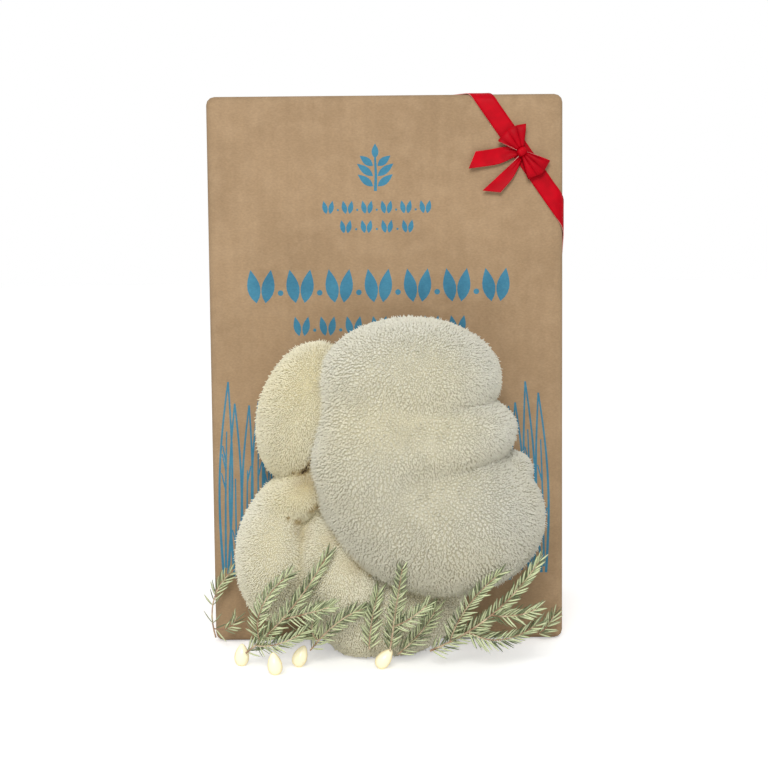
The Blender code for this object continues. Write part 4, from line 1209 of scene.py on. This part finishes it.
def fork_place(stem, share):
    """Where a side shoot starts, in the middle of the stem's wood."""
    steps = 20
    points, _ = STEMS[stem]
    spots, _ = curve_through(*points, steps)
    return spots[round(share * steps)]


def twig_form(spots, headings, foot_radius):
    """A round tapered twig: its points, faces and growth values, and its material's number."""
    sides = 8
    points = []
    side = np.array([0, -1.0, 0])
    for spot, heading, share in zip(spots, headings, np.linspace(0, 1, len(spots))):
        side = unit(side - heading * (side @ heading))
        other = np.cross(heading, side)
        radius = foot_radius + (TWIG_TIP_RADIUS - foot_radius) * share
        for j in range(sides):
            angle = 2 * math.pi * j / sides
            points.append(spot + radius * (math.cos(angle) * side + math.sin(angle) * other))
    rings = [range(start, start + sides) for start in range(0, len(points), sides)]
    faces = quads_between(rings, closed=True) + [rings[0][::-1], rings[-1]]
    return points, faces, [(0, 0, 0, 1)] * len(points), 1


def needle_form(root, way, bend, length, width, tint):
    """A flat needle, painted pale along one edge and dark along the other as painted highlight and shade:
    four cross sections and a point, curved towards the twig's tip.
    """
    side = unit(np.cross(way, bend))
    flat = np.cross(side, way)
    points, values = [], []
    for share, fullness in ((0.0, 0.45), (0.22, 0.95), (0.6, 1.0), (0.86, 0.62)):
        centre = root + way * length * share + bend * length * NEEDLE_BEND * share * share
        half = width / 2 * fullness
        points += [centre + flat * half, centre + side * half * 0.55, centre - flat * half]
        values += [(share, tint, edge, 1) for edge in (1.0, 0.35, 0.0)]
    rings = [range(start, start + 3) for start in range(0, len(points), 3)]
    tip = len(points)
    points.append(root + way * length + bend * length * NEEDLE_BEND)
    values.append((1.0, tint, 0.4, 1))
    faces = quads_between(rings, closed=True)
    faces += [(rings[-1][j], rings[-1][(j + 1) % 3], tip) for j in range(3)]
    return points, faces, values, 0


obstacles = []
for solid_name in ("carton", "fruiting_body"):
    solid_mesh = nodes[solid_name].data
    obstacles.append(BVHTree.FromPolygons([vertex.co for vertex in solid_mesh.vertices],
                                          [face.vertices for face in solid_mesh.polygons]))


def clear_length(root, way, bend, length):
    """The needle's length, shortened where it would grow into the carton, the fungus or the table."""
    table_gap = 0.4
    for share in (1.0, 0.85, 0.7, 0.55, 0.4):
        tip = root + (way + bend * NEEDLE_BEND) * length * share
        middle = root + way * length * share * 0.6
        if tip[2] < table_gap or middle[2] < table_gap:
            continue
        start = place(*root)
        run = place(*tip) - start
        if all(tree.ray_cast(start, run.normalized(), run.length)[0] is None for tree in obstacles):
            return length * share
    return length * 0.3


def sprig_piece(name, line, foot_radius, chance):
    """One stem or side shoot, with its needles in rows round the twig. Gives how many faces it has."""
    steps = max(6, round(sum(math.dist(a, b) for a, b in zip(line, line[1:])) / NEEDLE_SPACING))
    spots, headings = curve_through(*line, steps)
    forms = [twig_form(spots, headings, foot_radius * WOOD_SHARE)]
    for i in range(1, steps + 1):
        heading = headings[i]
        side = unit(np.cross(heading, [0, -1.0, 0]))
        front = unit(np.cross(side, heading))
        share = i / steps
        lost = BARE_LOST if share < BARE_STRETCH.get(name, 0) else LOST_SHARE.get(name, 0)
        if lost and chance.random() < lost:
            continue
        # Needles lie to the two sides by turns, four pale to one dark, and dark ones lie behind them as
        # painted shade between the pale ones.
        turns = [(10 if i % 2 else 170, chance.random() < PALE_CHANCE), (204 if i % 2 else -24, False)]
        if i % 5 == 2:
            turns.append((90, i % 2))
        for spread, pale in turns:
            angle = math.radians(spread + chance.uniform(-16, 16))
            arm = side * math.cos(angle) + front * math.sin(angle)
            lean = math.radians(chance.uniform(*NEEDLE_LEAN)) * (1 - 0.5 * share ** 3)
            way = heading * math.cos(lean) + arm * math.sin(lean)
            length = NEEDLE_LENGTH * (1.02 - 0.30 * share) * chance.uniform(0.78, 1.08)
            root = spots[i] + arm * 0.2 + heading * chance.uniform(-0.3, 0.3)
            length = clear_length(root, way, heading, length)
            look = PALE_NEEDLE if pale else DARK_NEEDLE
            tint = chance.uniform(*look["tint"])
            forms.append(needle_form(root, way, heading, length, look["width"], tint))
    points, faces, values, slots = [], [], [], []
    for form_points, form_faces, form_values, slot in forms:
        faces += [[len(points) + i for i in face] for face in form_faces]
        points += form_points
        values += form_values
        slots += [slot] * len(form_faces)
    mesh = bpy.data.meshes.new(name + "_needled")
    mesh.from_pydata([place(*point) for point in points], [], faces)
    mesh.polygons.foreach_set("material_index", slots)
    mesh.polygons.foreach_set("use_smooth", [True] * len(faces))
    set_growth(mesh, *np.array(values).T)
    new_piece(name + "_needled", mesh, [needles, bark], [name])
    return len(faces)


sprig_chance = random.Random(17)
sprig_faces = 0
for sprig_name, (sprig_line, sprig_radius) in STEMS.items():
    sprig_faces += sprig_piece(sprig_name, sprig_line, sprig_radius, sprig_chance)
for sprig_name, (stem_name, fork_share, shoot_middle, shoot_tip) in SHOOTS.items():
    sprig_line = [fork_place(stem_name, fork_share), shoot_middle, shoot_tip]
    sprig_faces += sprig_piece(sprig_name, sprig_line, SHOOT_RADIUS, sprig_chance)
print("sprigs", sprig_faces, "faces")


# Bulbs
#
# Small drop-shaped lamps of frosted glass, warm white inside, that lie among the sprigs. They glow faintly
# and evenly all through, and by the angle at which they are seen they are painted paler at the middle and
# golden at the rims, as painted glow.

# Each bulb: where it stands and how it leans to the right, in millimetres and degrees.
BULBS = [((-70.1, -45.4), 3), ((-52.5, -62.2), -8), ((-43.8, -49), 22), ((-5.5, -54), 38)]
BULB_DIAMETER = 7
BULB_HEIGHT = 10.6
BULB_FOOT = 1.4

glass = new_material("frosted_glass_warm")
# Painted glow: the glass is paler where it faces the eye and golden towards its rims.
glass_painted_rim_glow = add_node(glass, "LayerWeight", {"Blend": 0.45})["Facing"]
glass_painted_rim_glow = add_node(glass, "MapRange", {"From Min": 0.25, "From Max": 0.95}, {"Value": glass_painted_rim_glow})[0]
glass_colour = add_node(glass, "Mix",
                        {**MIX, FIRST: "#FBF3D2", SECOND: "#D9BC6C"},
                        {SHARE: glass_painted_rim_glow})[MIXED]
finish_material(glass, {"Roughness": 0.28, "IOR": 1.5, "Coat Weight": 0.3, "Emission Strength": 0.24,
                                "Emission Color": "#FFF0C0"}, {"Base Color": glass_colour})


def bulb_mesh(name, spot, lean):
    """A drop turned about its upright axis, on a small flat foot, then leaned."""
    rings, sides = 26, 40
    shares = [ring / rings for ring in range(rings)]
    drop = [(share + 0.04) ** 0.5 * (1.02 - share) ** 0.8 for share in shares]
    radii = [BULB_FOOT] + [radius / max(drop) * BULB_DIAMETER / 2 for radius in drop[1:]]
    shape = bmesh.new()
    loops = []
    for share, radius in zip(shares, radii):
        turns = [2 * math.pi * i / sides for i in range(sides)]
        loops.append([shape.verts.new(Vector((radius * math.cos(turn), radius * math.sin(turn),
                                              share * BULB_HEIGHT)) * MM) for turn in turns])
    tip = shape.verts.new((0, 0, BULB_HEIGHT * MM))
    for corners in quads_between(loops, closed=True):
        shape.faces.new(corners)
    for i in range(sides):
        shape.faces.new((loops[-1][i], loops[-1][(i + 1) % sides], tip))
    shape.faces.new(loops[0][::-1])
    bmesh.ops.transform(shape, matrix=Matrix.Rotation(math.radians(lean), 4, "Y"), verts=shape.verts[:])
    lowest = min(vertex.co.z for vertex in shape.verts)
    bmesh.ops.translate(shape, vec=place(*spot, 0) - Vector((0, 0, lowest)), verts=shape.verts[:])
    return finished_mesh(name, shape)


for number, (bulb_spot, bulb_lean) in enumerate(BULBS, 1):
    bulb_name = f"light_bulb_{number}"
    new_piece(bulb_name + "_frosted", bulb_mesh(bulb_name + "_frosted", bulb_spot, bulb_lean),
              [glass], [bulb_name], smooth_angle=50)


# Table, light and camera
#
# A wide soft lamp hangs in front, up and to the left, and the camera looks straight at the front from
# a little above.

TABLE_HALF = 6.0
TABLE_GLOW = 0.42
ROOM_LIGHT = 0.57
LAMP_PLACE = Vector((-0.15, -1.85, 1.2))
LAMP_AIM = Vector((0.0, 0.0, 0.12))
LAMP_SIZE = 0.7
LAMP_WATTS = 24.0
CAMERA_PLACE = (-1.4, -800.0, 202.7)
CAMERA_PITCH = 84.732
CAMERA_ROLL = -0.538
CAMERA_LENS = 76.3

white_table = new_material("white_table")
seen_table = add_node(white_table, "LightPath")["Is Camera Ray"]
table_glow = add_node(white_table, "MapRange", {"To Max": TABLE_GLOW}, {"Value": seen_table})[0]
finish_material(white_table, {"Base Color": "#FBFBFA", "Roughness": 0.9,
                              "Emission Color": (1.0, 1.0, 1.0, 1.0)}, {"Emission Strength": table_glow})
table_shape = bmesh.new()
bmesh.ops.create_grid(table_shape, x_segments=1, y_segments=1, size=TABLE_HALF)
table = add_object("table", finished_mesh("table", table_shape))
table.data.materials.append(white_table)
table.location.z = -0.2 * MM

room = bpy.data.worlds.new("room")
bpy.context.scene.world = room
room.use_nodes = True
room.node_tree.nodes.clear()
seen_room = add_node(room, "LightPath")
seen_room = add_node(room, "Math", {"operation": "MAXIMUM"},
                     {0: seen_room["Is Camera Ray"], 1: seen_room["Is Glossy Ray"]})[0]
room_level = add_node(room, "MapRange", {"To Min": ROOM_LIGHT}, {"Value": seen_room})[0]
room_light = add_node(room, "Background", {"Color": (1, 1, 1, 1)}, {"Strength": room_level})[0]
add_node(room, "OutputWorld", links={"Surface": room_light})

lamp = add_object("window_lamp", bpy.data.lights.new("window_lamp", "AREA"))
lamp.data.shape = "SQUARE"
lamp.data.size = LAMP_SIZE
lamp.data.energy = LAMP_WATTS
lamp.location = LAMP_PLACE
lamp.rotation_mode = "QUATERNION"
lamp.rotation_quaternion = (LAMP_AIM - LAMP_PLACE).to_track_quat("-Z", "Y")

camera = add_object("camera", bpy.data.cameras.new("camera"))
camera.data.sensor_width = 36.0
camera.data.lens = CAMERA_LENS
camera.data.clip_start = 0.01
camera.matrix_world = (Matrix.Translation(place(*CAMERA_PLACE))
                       @ Matrix.Rotation(math.radians(CAMERA_PITCH), 4, "X")
                       @ Matrix.Rotation(math.radians(CAMERA_ROLL), 4, "Z"))
bpy.context.scene.camera = camera
bpy.context.scene.view_settings.view_transform = "Standard"
